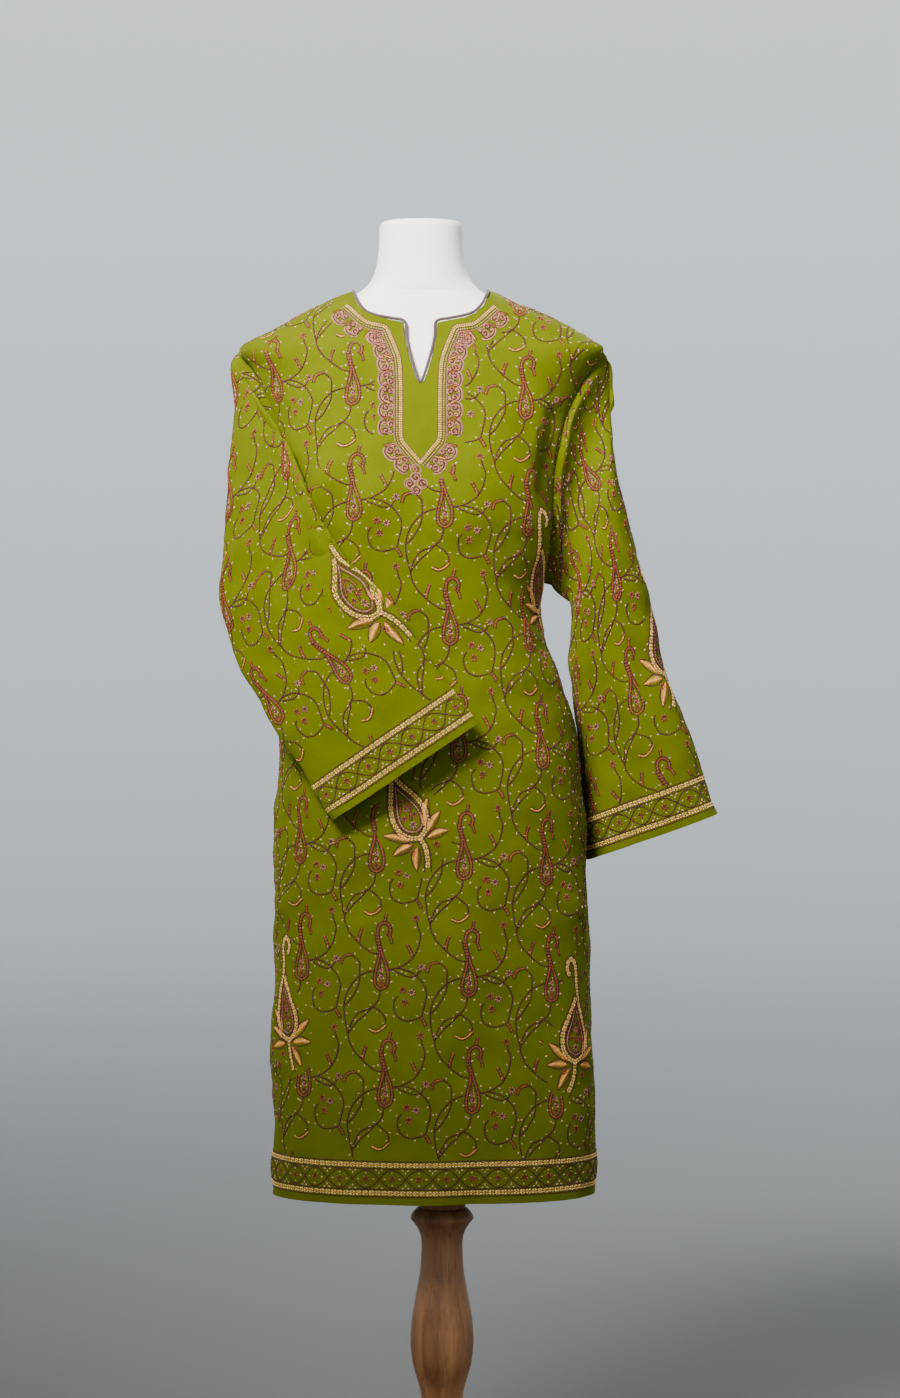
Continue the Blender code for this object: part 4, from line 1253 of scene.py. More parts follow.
def lathe_like(name, grid, material):
    """A closed solid from rings of points, with both of its ends filled."""
    rows, count = grid.shape[:2]
    points = grid.reshape(-1, 3)
    quads = grid_quads(rows, count, closed=True).tolist()
    low, high = points[:count].mean(axis=0), points[-count:].mean(axis=0)
    points = np.concatenate((points, low[None], high[None]))
    last = rows * count
    for j in range(count):
        k = (j + 1) % count
        quads.append((last, k, j))
        quads.append((last + 1, (rows - 1) * count + j, (rows - 1) * count + k))
    mesh = bpy.data.meshes.new(name)
    mesh.from_pydata((points * MM).tolist(), [], quads)
    mesh.validate()
    mesh.shade_smooth()
    mesh.set_sharp_from_angle(angle=math.radians(40))
    return add_object(name, mesh, material)


def cover_material():
    colour = (0.80, 0.78, 0.745)
    made, tree, shader = new_material(
        "form_cotton", colour, 0.8, sheen_weight=0.12, specular_ior_level=0.25
    )
    place = put(tree, "ShaderNodeTexCoord")
    threads = use_group(tree, weave, Vector=place.outputs["Object"], Thread=0.0006, Unevenness=0.3)
    slow = use_group(
        tree, mottle, Vector=place.outputs["Object"], Colour=(*colour, 1), Amount=0.035, Scale=14.0
    )
    tree.links.new(slow.outputs["Colour"], shader.inputs["Base Color"])
    bump(tree, shader, threads.outputs["Height"], 0.25, 0.0002)
    return made


form = lathe_like("form_torso", form_cover(), cover_material())
print("form faces", len(form.data.polygons))

# %% [markdown]
# ## The turned stand
#
# Turned pieces are profiles spun about one axis. The wood's grain runs up the pieces: long
# streaks, made by stretching a noise along Z, over slow rings of darker and lighter wood.

# %% Wood
def wood_material():
    colour = (0.30, 0.155, 0.075)
    made, tree, shader = new_material(
        "turned_wood", colour, 0.5, coat_weight=0.05, coat_roughness=0.4, specular_ior_level=0.3
    )
    place = put(tree, "ShaderNodeTexCoord")
    stretch = put(tree, "ShaderNodeMapping", Scale=(1.0, 1.0, 0.06))
    tree.links.new(place.outputs["Object"], stretch.inputs["Vector"])
    grain = put(tree, "ShaderNodeTexNoise", Scale=60.0, Detail=6.0, Roughness=0.62, Distortion=0.6)
    pores = put(tree, "ShaderNodeTexNoise", Scale=420.0, Detail=2.0)
    rings = put(tree, "ShaderNodeTexWave", Scale=9.0, Distortion=5.0, Detail=2.0, wave_type="RINGS")
    rings.rings_direction = "Z"
    for node in (grain, pores, rings):
        tree.links.new(stretch.outputs[0], node.inputs["Vector"])
    ramp = put(tree, "ShaderNodeValToRGB")
    ramp.color_ramp.elements[0].position = 0.3
    ramp.color_ramp.elements[0].color = (0.13, 0.050, 0.016, 1)
    ramp.color_ramp.elements[1].position = 0.72
    ramp.color_ramp.elements[1].color = (0.36, 0.17, 0.065, 1)
    streaks = math_node(tree, "MULTIPLY", grain.outputs[0], 0.8)
    growth = math_node(tree, "MULTIPLY", rings.outputs[1], 0.22)
    tree.links.new(math_node(tree, "ADD", streaks, growth), ramp.inputs[0])
    specks = math_node(tree, "MULTIPLY", soft_mask(tree, pores.outputs[0], 0.56, 0.7), 0.5)
    fine = mix_colour(tree, specks, ramp.outputs[0], (0.09, 0.04, 0.02))
    tree.links.new(fine, shader.inputs["Base Color"])
    bump(tree, shader, grain.outputs[0], 0.12, 0.0004)
    return made


def soft_mask(tree, value, low, high):
    node = put(tree, "ShaderNodeMapRange", interpolation_type="SMOOTHSTEP")
    tree.links.new(value, node.inputs["Value"])
    node.inputs["From Min"].default_value = low
    node.inputs["From Max"].default_value = high
    return node.outputs[0]


wood = wood_material()

# %% Post, column and base
TurnedPoint = namedtuple("TurnedPoint", "radius height")
COLUMN_PROFILE = (
    TurnedPoint(29.5, 366.5),
    TurnedPoint(34.0, 361.5),
    TurnedPoint(36.4, 356),
    TurnedPoint(32.0, 350),
    TurnedPoint(27.0, 342),
    TurnedPoint(24.4, 334),
    TurnedPoint(23.6, 325),
    TurnedPoint(24.4, 304),
    TurnedPoint(29.4, 271),
    TurnedPoint(34.8, 239),
    TurnedPoint(36.4, 216),
    TurnedPoint(34.2, 191),
    TurnedPoint(30.0, 175),
    TurnedPoint(26.0, 161),
    TurnedPoint(24.0, 149),
    TurnedPoint(24.5, 120),
    TurnedPoint(27.0, 90),
    TurnedPoint(33.0, 62),
    TurnedPoint(43.0, 42),
    TurnedPoint(47.0, 34),
    TurnedPoint(47.0, 26.3),
)
POST_PROFILE = (
    TurnedPoint(26.0, 711.7),
    TurnedPoint(27.0, 710.7),
    TurnedPoint(27.0, 368.0),
    TurnedPoint(26.0, 366.8),
)
BASE_PROFILE = (
    TurnedPoint(60.0, 26.0),
    TurnedPoint(150.0, 26.0),
    TurnedPoint(184.0, 26.0),
    TurnedPoint(187.6, 24.6),
    TurnedPoint(189.6, 21.6),
    TurnedPoint(190.0, 18.0),
    TurnedPoint(190.0, 3.0),
    TurnedPoint(188.6, 0.6),
    TurnedPoint(187.0, 0.0),
)
TURNED_AROUND = 112


def turned(name, profile, step, smooth):
    heights = np.array(column(profile, "height"), float)[::-1]
    radii = np.array(column(profile, "radius"), float)[::-1]
    if smooth:
        fine = split_evenly(heights, step)
        radii, heights = smooth_through(heights, radii, fine), fine
    turn = np.linspace(0, 2 * math.pi, TURNED_AROUND, endpoint=False)
    grid = np.stack(
        (
            radii[:, None] * np.cos(turn),
            radii[:, None] * np.sin(turn),
            np.repeat(heights[:, None], TURNED_AROUND, axis=1),
        ),
        axis=-1,
    )
    return lathe_like(name, grid, wood)


stand = {
    "stand_post": turned("post_turned", POST_PROFILE, 0, False),
    "stand_column": turned("column_turned", COLUMN_PROFILE, 2.5, True),
    "stand_base": turned("base_turned", BASE_PROFILE, 0, False),
}
print("stand", {name: len(o.data.polygons) for name, o in stand.items()})

# %% [markdown]
# ## Laying a drawing on the hung cloth
#
# The embroidery is charted flat, in millimetres, as an embroiderer's pricked pattern would be.
# Every stitch is a short line with two ends. To hang it, each end is looked up in the flat grid:
# the triangle it falls in, and its place inside it, give the same spot on the hung cloth.

# %% From the flat cloth to the hung cloth
class Chart:
    """Looks up places of a flat drawing and reads values of the grid there."""

    def __init__(self, flat, values, keep=None):
        rows, columns = flat.shape[:2]
        quads = grid_quads(rows, columns)
        if keep is not None:
            quads = quads[keep.reshape(-1)[quads].all(axis=1)]
        self.triangles = np.concatenate((quads[:, [0, 1, 2]], quads[:, [0, 2, 3]]))
        self.flat = flat.reshape(-1, 2)
        self.values = values.reshape(rows * columns, -1)
        level = np.concatenate((self.flat, np.zeros((rows * columns, 1))), axis=1)
        self.tree = BVHTree.FromPolygons(level.tolist(), self.triangles.tolist())

    def read(self, places):
        """The values at flat places, and which of the places are on the cloth."""
        hits = np.full(len(places), -1)
        down = Vector((0, 0, -1))
        for i, (x, y) in enumerate(places.tolist()):
            found = self.tree.ray_cast(Vector((x, y, 1)), down)
            if found[2] is not None:
                hits[i] = found[2]
        on_cloth = hits >= 0
        corners = self.triangles[np.where(on_cloth, hits, 0)]
        a, b, c = (self.flat[corners[:, k]] for k in range(3))
        area = (b - a)[:, 0] * (c - a)[:, 1] - (b - a)[:, 1] * (c - a)[:, 0]
        area = np.where(np.abs(area) < 1e-9, 1e-9, area)
        p = places - a
        u = (p[:, 0] * (c - a)[:, 1] - p[:, 1] * (c - a)[:, 0]) / area
        v = ((b - a)[:, 0] * p[:, 1] - (b - a)[:, 1] * p[:, 0]) / area
        weights = np.stack((1 - u - v, u, v), axis=-1)[..., None]
        return (self.values[corners] * weights).sum(axis=1), on_cloth


def opened(grid, closed):
    """A sleeve's grid cut open under the arm, as its flat coordinates are."""
    half = grid.shape[1] // 2
    return np.concatenate((grid[:, half:], grid[:, : half + 1]), axis=1) if closed else grid


CHARTS = {}
SEEN = {}
for name in CLOTH_GRIDS:
    closed = CLOTH_GRIDS[name][1]
    place, out = opened(GRIDS[name], closed), opened(NORMALS[name], closed)
    CHARTS[name] = Chart(FLAT[name], np.concatenate((place, out), axis=-1))
    nearer = CAMERA_AWAY / (CAMERA_AWAY + place[..., 1] * MM)
    seen_x = CAMERA_ACROSS / MM + (place[..., 0] - CAMERA_ACROSS / MM) * nearer
    seen_z = CAMERA_HEIGHT / MM + (place[..., 2] - CAMERA_HEIGHT / MM) * nearer
    to_camera = np.array((CAMERA_ACROSS, -CAMERA_AWAY, CAMERA_HEIGHT)) / MM - place
    facing = (out * to_camera).sum(axis=-1) > 0
    SEEN[name] = Chart(np.stack((seen_x, seen_z), -1), FLAT[name], facing)
PICTURE_MIDDLE = (442.0, 699.0)
PIXEL_MM = 1.15


def where_seen(name, across, down):
    """Flat place of the cloth that shows at a place of the 900 by 1398 picture."""
    x = (across - PICTURE_MIDDLE[0]) * PIXEL_MM
    z = CAMERA_HEIGHT / MM + (PICTURE_MIDDLE[1] - down) * PIXEL_MM
    found, on_cloth = SEEN[name].read(np.array([[x, z]]))
    if not on_cloth[0]:
        print("  not on the cloth:", name, across, down)
    return found[0]


chest = np.round(where_seen("front_panel", 421, 500))
print("middle of the chest is at", chest, "mm on the flat cloth")

# %% [markdown]
# ## Stitches
#
# Aari work, the hooked chain stitch of Kashmir, draws with lines of small links. A drawing here
# is a list of stitches for each thread. Helpers turn a charted line into a run of stitches,
# a braid, seeds beside a stem, a satin leaf, a floret or a spiral.

# %% A drawing and its simplest stitches
THREADS = ("dark", "copper", "gold", "cream", "pink", "seed")


class Drawing:
    """Stitches on the flat cloth: both ends, width and rise, for each thread."""

    def __init__(self):
        self.rows = {thread: [np.zeros((0, 6))] for thread in THREADS}

    def add(self, thread, starts, ends, width, rise=0.55):
        starts, ends = np.atleast_2d(starts), np.atleast_2d(ends)
        size = np.broadcast_to((width, rise), (len(starts), 2))
        self.rows[thread].append(np.concatenate((starts, ends, size), axis=1))

    def stitches(self, thread):
        return np.concatenate(self.rows[thread])

    def place(self, other, x, y, turn=0.0, mirror=False, keep=None, size=1.0):
        """Adds another drawing, turned by degrees and moved; keep says which stitches stay."""
        cosine, sine = math.cos(math.radians(turn)), math.sin(math.radians(turn))
        for thread in THREADS:
            rows = other.stitches(thread).copy()
            for first in (0, 2):
                ax = rows[:, first] * (-size if mirror else size)
                ay = rows[:, first + 1] * size
                rows[:, first] = x + ax * cosine - ay * sine
                rows[:, first + 1] = y + ax * sine + ay * cosine
            if keep is not None:
                rows = rows[keep((rows[:, :2] + rows[:, 2:4]) / 2)]
            self.rows[thread].append(rows)


def unit(ways):
    """Directions, each made one long."""
    return ways / (np.linalg.norm(ways, axis=1)[:, None] + 1e-9)


def leftward(ways):
    """Directions, each turned a quarter to the left."""
    return np.stack((-ways[:, 1], ways[:, 0]), axis=-1)


def beside(line, distance):
    """A line at a distance to the left of another."""
    return line + distance * leftward(unit(np.gradient(line, axis=0)))


def evenly(line, step):
    """Points at equal steps along a line."""
    run = run_of(line)
    count = max(1, int(round(run[-1] / step)))
    return points_at(line, run, np.linspace(0, run[-1], count + 1))


OVERLAP = 0.42  # a stitch runs on past both its ends by this part of its length


def stitch_line(drawing, thread, line, stitch=3.6, width=1.6, rise=0.62, off=0.0):
    line = evenly(beside(line, off) if off else line, stitch)
    more = (line[1:] - line[:-1]) * OVERLAP
    drawing.add(thread, line[:-1] - more, line[1:] + more, width, rise)


def stem(drawing, points, thread="dark", width=2.15, **more):
    stitch_line(drawing, thread, rounded_line(points, 0.8), width=width, **more)


def seeds(drawing, points, every=9.0, off=3.1, start=4.0, thread="seed", length=3.3, width=1.45):
    """Slanting seed stitches beside a line, now on one side and now on the other."""
    line = rounded_line(points, 0.5)
    way = unit(np.gradient(line, axis=0))
    picks = np.arange(int(start / 0.5), len(line) - 2, int(every / 0.5))
    side = np.where(np.arange(len(picks)) % 2, 1.0, -1.0)[:, None]
    out = leftward(way)[picks] * side
    middle = line[picks] + out * off
    lean = way[picks] * 0.72 + out * 0.69
    drawing.add(thread, middle - lean * length / 2, middle + lean * length / 2, width, 0.6)


def crescent(drawing, points, width=1.9, core="copper"):
    """A curved leaf: a core thread between two dark lines."""
    line = rounded_line(points, 0.8)
    stitch_line(drawing, core, line, stitch=3.4, width=width, rise=0.65)
    for side in (-1, 1):
        stitch_line(drawing, "dark", line, width=1.35, rise=0.6, off=side * (width / 2 + 0.55))


def floret(drawing, x, y, radius=4.7, petals=7, petal="copper", turn=0.3):
    """Short petals with dark stitches between them and pale tips."""
    angle = turn + 2 * math.pi * np.arange(petals) / petals
    ray = np.stack((np.cos(angle), np.sin(angle)), -1)
    middle = np.array((x, y))
    foot, tip = middle + ray * radius * 0.22, middle + ray * radius * 0.95
    drawing.add(petal, foot, tip, radius * 0.44, 0.7)
    foot, tip = middle + ray[::2] * radius * 0.6, middle + ray[::2] * radius * 1.02
    drawing.add("pink", foot, tip, radius * 0.24, 0.85)
    half = angle + math.pi / petals
    gap = np.stack((np.cos(half), np.sin(half)), -1)
    drawing.add("dark", middle + gap * radius * 0.15, middle + gap * radius, radius * 0.24, 0.6)
    drawing.add("dark", middle - (0.8, 0), middle + (0.8, 0), 1.6, 0.8)


print("threads:", THREADS)

# %% [markdown]
# The thick edging is a braid of wide cream links with gold in their middles, between two dark
# lines. The leaves of the large flowers are satin stitch: slanting threads side by side.

# %% Braid, satin leaf and spiral
def braid(drawing, points, width=6.6, pitch=7.2, smooth=True, edges=True):
    line = rounded_line(points, 0.5) if smooth else np.asarray(points, float)
    for side in (-1, 1) if edges else ():
        stitch_line(drawing, "dark", line, width=1.7, rise=0.62, off=side * (width / 2 + 0.75))
    half = evenly(line, pitch / 2)
    out = leftward(unit(np.gradient(half, axis=0)))
    first, middle, last = half[:-2:2], half[1:-1:2], half[2::2]
    for side in (-1, 1):
        near, far = out[:-2:2] * side * width * 0.13, out[1:-1:2] * side * width * 0.37
        end = last + out[2::2] * side * width * 0.10
        drawing.add("cream", first + near * 0.6, middle + far, width * 0.27, 0.85)
        drawing.add("cream", middle + far, end, width * 0.25, 0.9)
    drawing.add("gold", first * 0.72 + middle * 0.28, middle * 0.35 + last * 0.65, width * 0.3, 0.7)


def leaf(drawing, x0, y0, x1, y1, width=9.0, bend=0.0):
    """A satin leaf from its foot to its tip, with a dark outline and pale veins."""
    foot, tip = np.array((x0, y0), float), np.array((x1, y1), float)
    run = np.linalg.norm(tip - foot)
    way = (tip - foot) / run
    out = np.array((-way[1], way[0]))

    def axis_and_half(t, widest):
        half = widest * np.sin(math.pi * t**0.85) ** 0.8
        axis = foot + way * run * t[:, None] + out * (bend * np.sin(math.pi * t))[:, None]
        return axis, half[:, None]

    threads = max(5, int(run / 1.6))
    axis, half = axis_and_half(np.linspace(0.03, 0.97, threads), width / 2)
    slant = out + way * 0.55
    drawing.add("gold", axis - slant * half, axis + slant * half, 1.9, 0.75)
    axis, half = axis_and_half(np.linspace(0, 1, 25), width / 2 + 0.7)
    for side in (-1, 1):
        edge = axis + side * out * half
        stitch_line(drawing, "dark", edge, stitch=3.2, width=1.6, rise=0.6)
    stitch_line(drawing, "cream", axis[6:-4], stitch=3.6, width=1.0, rise=1.05)


def spiral(drawing, x, y, radius, turn=0.0, hand=1, core="copper"):
    """A pale thread and a dark one, coiled together round a small core."""
    for thread, shift, width in (("pink", 0.0, 1.5), ("dark", math.pi, 1.7)):
        angle = np.linspace(0, 2 * math.pi * max(1.0, radius / 3.7), 40)
        reach = 1.2 + (radius - 1.2) * angle / angle[-1]
        coil = hand * angle + turn + shift
        line = np.array((x, y)) + np.stack((np.cos(coil), np.sin(coil)), -1) * reach[:, None]
        stitch_line(drawing, thread, line, stitch=2.9, width=width)
    drawing.add(core, (x - 1, y - 0.6), (x + 1, y + 0.6), 1.9, 0.8)


# %% [markdown]
# ## The small paisley and its vines
#
# One repeat is a slim paisley with a hooked tip, a floret in its foot, and thin dark vines that
# curl away on both sides, with seed stitches along them. Numbers are whole millimetres from the
# paisley's foot.

# %% One repeat
PAISLEY_RIGHT = (
    (0, 0), (6, 3), (8.5, 10), (8, 20), (5, 30), (2, 38), (0, 46), (-2, 54), (-3, 62),
    (-2.5, 68), (1, 73), (6, 74), (10, 71), (11.5, 65), (10, 60),
)  # fmt: skip
PAISLEY_LEFT = (
    (0, 0), (-5.5, 3), (-7, 11), (-5.5, 21), (-3, 30), (-1, 38), (-1.5, 46), (-4, 55), (-4.5, 62),
)  # fmt: skip
VINES = (
    ((9, 22), (20, 24), (29, 29), (37, 36), (43, 49), (45, 60), (42, 70), (41, 75)),
    (
        (18, 24), (30, 21), (39, 16), (47, 7), (51, -2), (50, -13), (47, -24), (45, -31), (36, -34),
        (27, -35), (19, -31), (15, -23), (15, -14), (19, -8),
    ),
    ((12, 22), (23, 17), (31, 14), (40, 15), (44, 21)),
    (
        (-6, 20), (-14, 19), (-23, 15), (-31, 8), (-38, -2), (-42, -13), (-43, -23), (-42, -34),
        (-40, -44), (-38, -52), (-37, -58), (-32, -68), (-22, -79), (-12, -87), (-5, -91), (5, -92),
    ),
    ((-24, 15), (-24, 22), (-24, 30), (-29, 35), (-34, 38)),
    ((-24, 14), (-25, 6), (-29, -2), (-35, -12), (-42, -19)),
    (
        (-1, -1), (-2, -9), (-6, -16), (-10, -20), (-19, -24), (-26, -27), (-32, -34), (-36, -42),
        (-38, -51),
    ),
    ((-10, -20), (-19, -29), (-28, -37), (-37, -48)),
    ((-10, -20), (-3, -24), (3, -30), (5, -37), (4, -41)),
)  # fmt: skip
CRESCENTS = (
    ((-34, 38), (-40, 37), (-44, 34), (-46, 27)),
    ((5, -40), (0, -45), (-7, -48), (-14, -45)),
    ((36, 37), (33, 44), (30, 50)),
    ((45, -32), (48, -36), (50, -41)),
    ((-21, -79), (-20, -72), (-17, -64)),
)
FLORETS = ((40, 79), (46, 25), (25, -1), (35, -4), (27, -15))


def paisley():
    made = Drawing()
    for side in (PAISLEY_RIGHT, PAISLEY_LEFT):
        line = rounded_line(side, 0.8)
        stitch_line(made, "copper", line, stitch=3.4, width=1.75, rise=0.65)
        for off in (-1.6, 1.6):
            stitch_line(made, "dark", line, width=1.8, rise=0.65, off=off)
    crescent(made, ((10, 60), (12, 56), (13, 51)), 1.5)
    crescent(made, ((6, 63), (10, 60)), 1.2)
    crescent(made, ((5, 75), (6, 79), (7, 84)), 1.7)
    floret(made, 0.5, 7, 4.3, 6)
    spiral(made, 0.5, 14.5, 3.2)
    spiral(made, 0.3, 21, 2.6, turn=1)
    stem(made, ((0.5, 24), (0, 30), (-0.5, 36)), width=1.8)
    for x, y in ((-3.2, 11), (3.6, 12), (2.6, 18.5), (-2.4, 20), (1.6, 26)):
        made.add("seed", (x - 0.8, y - 0.6), (x + 0.8, y + 0.6), 1.3, 0.8)
    for x, y, lean in (
        (12, 8, 1), (-10, 9, -1), (10.5, 30, 1), (-7, 30, -1), (5, 43, 1), (-7, 46, -1),
        (1, 58, 1), (-9, 62, -1), (-5, 73, -1), (14, 71, 1), (3, 66, 1), (7, -4, 1), (-7, -4, -1),
    ):  # fmt: skip
        made.add("seed", (x - 1.4, y - 1.1 * lean), (x + 1.4, y + 1.1 * lean), 1.8, 0.6)
    return made


def repeat():
    made = paisley()
    for i, vine in enumerate(VINES):
        stem(made, vine)
        seeds(made, vine, start=5.0 + 1.5 * (i % 3))
    for i, points in enumerate(CRESCENTS):
        crescent(made, points, core="gold" if i == 1 else "copper")
    for i, (x, y) in enumerate(FLORETS):
        floret(made, x, y, petal="pink" if i in (1, 3) else "copper", turn=0.5 * i)
    return made


one_repeat = repeat()
print("stitches in one repeat", sum(len(one_repeat.stitches(t)) for t in THREADS))

# %% [markdown]
# ## The large flower
#
# The same paisley at twice the size, in braid, filled with spirals and florets, with satin
# leaves round its foot. It stands alone on the front, the sleeves and the sides of the skirt.

# %% Large flower
LARGE_RIGHT = (
    (0, 0), (10, 6), (17, 18), (18, 32), (13, 48), (6, 62), (2, 74), (0, 86), (-1, 98),
    (-3, 108), (-9, 115), (-16, 113), (-19, 106), (-17, 99), (-12, 98),
)  # fmt: skip
LARGE_LEFT = ((0, 0), (-10, 4), (-18, 14), (-20, 28), (-16, 44), (-9, 58), (-4, 68), (-1, 76))
LARGE_LEAVES = (
    (9, 10, 27, 38), (11, 3, 33, 18), (8, -3, 33, -5), (-12, 1, -37, 19), (-11, -4, -36, -6),
    (-7, -8, -19, -32),
)  # fmt: skip
LARGE_ZONE = (
    (-4, -44), (14, -30), (36, -14), (38, 12), (33, 44), (22, 50), (12, 78), (6, 122), (-24, 122),
    (-26, 90), (-20, 66), (-30, 44), (-44, 24), (-42, -16), (-24, -38),
)  # fmt: skip


def large_flower():
    made = Drawing()
    for x0, y0, x1, y1 in LARGE_LEAVES:
        leaf(made, x0, y0, x1, y1, 9.5, bend=1.2 if x1 > 0 else -1.2)
    for line in (LARGE_LEFT, LARGE_RIGHT):
        braid(made, line)
    braid(made, ((0, 0), (1, -12), (-2, -24), (-8, -38)), width=6.2)
    inner = ((0, 8), (8, 12), (11, 20), (11, 31), (7, 43), (1, 56), (-2, 64))
    other = ((0, 8), (-8, 11), (-13, 19), (-13, 29), (-10, 40), (-5, 52), (-2, 62))
    for line in (inner, other):
        stem(made, line, "pink", 1.5)
        stem(made, line, "dark", 1.5, off=1.6)
        stem(made, line, "dark", 1.4, off=-1.6)
    for x, y, size in ((-1, 16, 5.0), (5, 26, 3.8), (-7, 26, 4.0), (-1, 36, 4.2), (-3, 46, 3.2)):
        floret(made, x, y, size, 7, "pink" if size > 4.1 else "copper", turn=x)
    for points in (
        ((-1, 22), (2, 30), (2, 33)),
        ((-9, 34), (-6, 39), (-5, 43)),
        ((5, 33), (3, 40), (1, 45)),
    ):
        crescent(made, points, 1.3)
    for x, y in ((-14, -12), (14, -14)):
        floret(made, x, y, 4.2, 7, "copper")
    for x, y in (
        (-25, 33), (-29, 28), (24, 42), (33, 26), (34, 5), (-38, 4), (-30, -18), (9, -24),
        (-12, -34),
    ):  # fmt: skip
        made.add("seed", (x - 1.4, y - 1.0), (x + 1.4, y + 1.0), 1.8, 0.6)
    return made


one_large = large_flower()
print("stitches in a large flower", sum(len(one_large.stitches(t)) for t in THREADS))

# %% [markdown]
# ## The bands at the hem and the cuffs
#
# Two braids run round the edge. Between them, two waving stems cross and part again, with a
# floret in every opening and seeds round it.

# %% Edge band
BAND_LOW = 13.0
BAND_HIGH = 44.5
BAND_WAVE = 10.5
BAND_REPEAT = 30.0


def edge_band(first, last):
    made = Drawing()
    across = np.arange(first, last, 2.0)
    for height in (BAND_LOW, BAND_HIGH):
        braid(made, np.stack((across, 0 * across + height), -1), smooth=False)
    middle = (BAND_LOW + BAND_HIGH) / 2
    for side in (-1, 1):
        wave = middle + side * BAND_WAVE * np.sin(math.pi * across / BAND_REPEAT)
        stitch_line(made, "dark", np.stack((across, wave), -1), width=1.85)
    start = math.ceil(first / BAND_REPEAT) * BAND_REPEAT
    for crossing in np.arange(start - BAND_REPEAT, last, BAND_REPEAT):
        x = crossing + BAND_REPEAT / 2
        floret(made, x, middle, 4.4, 6, turn=crossing)
        for dx, dy, lx, ly in (
            (-8.5, 0, 1.6, 0.3), (8.5, 0, 1.6, -0.3), (0, 7, 1.2, 0.9), (0, -7, 1.2, -0.9),
            (-15, 7, 0.4, 1.8), (-12, 10, 1.6, 0.9), (-18, 10, 1.6, -0.9),
            (-15, -7, 0.4, 1.8), (-12, -10, 1.6, -0.9), (-18, -10, 1.6, 0.9),
        ):  # fmt: skip
            sx, sy = x + dx, middle + dy
            made.add("seed", (sx - lx, sy - ly), (sx + lx, sy + ly), 1.7, 0.6)
    return made


print("band", BAND_HIGH - BAND_LOW, "mm between its braids")

# %% [markdown]
# ## The neck border
#
# A narrow braid frames the slit and follows the neckline. Outside it come a row of pale dots, a
# fine double line, and a dense band of coiled threads that ends in small scallops.

# %% Neck border
BORDER_LOW = ((0, 1216), (7, 1224), (15, 1234), (21, 1243))
BORDER_UP = ((22, 1262), (22, 1290), (22.5, 1315), (25, 1340))
BORDER_REACH = 25.0
SCALLOP = 19.0
SCALLOP_FOOT = 19.5  # how far out two scallops meet
ABOVE_ALL = 1700.0


def neckline(name, first):
    """Flat places of the neckline from a place across it to the shoulder."""
    grid, flat = GRIDS[name], FLAT[name]
    middle = flat.shape[1] // 2
    top = flat[-1, middle:]
    across = np.abs(grid[-1, middle:, 0] - MIDDLE_X)
    chosen = top[(across >= first) & (across <= NECK_POINT.across + 1)]
    return chosen if chosen[-1, 0] > 0 else chosen * (-1, 1)


def border_line(name):
    """The inner braid's path, for the side where the flat coordinates are positive."""
    if name == "back_panel":
        edge = neckline(name, 0)
        return rounded_line(beside(edge, -13.0)[::4], 0.8)
    edge = neckline(name, 30)
    drop = np.linspace(-9, -13, len(edge))[:, None]
    along = beside(edge, 1.0) - edge
    low = edge + along * drop
    corner = rounded_line(low[2::5], 0.8)
    sides = rounded_line(BORDER_LOW + BORDER_UP + (tuple(corner[0] - (3.0, 3.5)),), 0.8)
    return np.concatenate((sides, corner))


def spaced(line, step, start=0.0):
    """Places at steps along a line, the directions there, and those to its right."""
    run = run_of(line)
    at = np.arange(start, run[-1], step)
    way = unit(points_at(line, run, at + 1) - points_at(line, run, at - 1))
    return points_at(line, run, at), way, -leftward(way)


def neck_border(name):
    """Half of the border; its outer side is to the right of the line."""
    made = Drawing()
    line = border_line(name)
    stitch_line(made, "dark", line, width=1.0, rise=0.45, off=2.3)
    place, way, out = spaced(line, 2.6)
    for side in (-1, 1):
        lean = way * 1.25 + out * side * 0.5
        row = place + out * side * 1.25
        made.add("cream", row - lean, row + lean, 1.25, 0.7)
    made.add("gold", place - way * 1.2, place + way * 1.2, 1.9, 0.9)
    stitch_line(made, "dark", line, width=1.0, rise=0.45, off=-2.5)
    dots = place + out * 4.3
    made.add("seed", dots - way * 0.85 + out * 0.35, dots + way * 0.85 - out * 0.35, 1.35, 0.7)
    stitch_line(made, "dark", line, width=1.0, rise=0.5, off=-6.0)
    stitch_line(made, "pink", line, width=1.2, rise=0.55, off=-7.2)
    scallops(made, line)
    return made


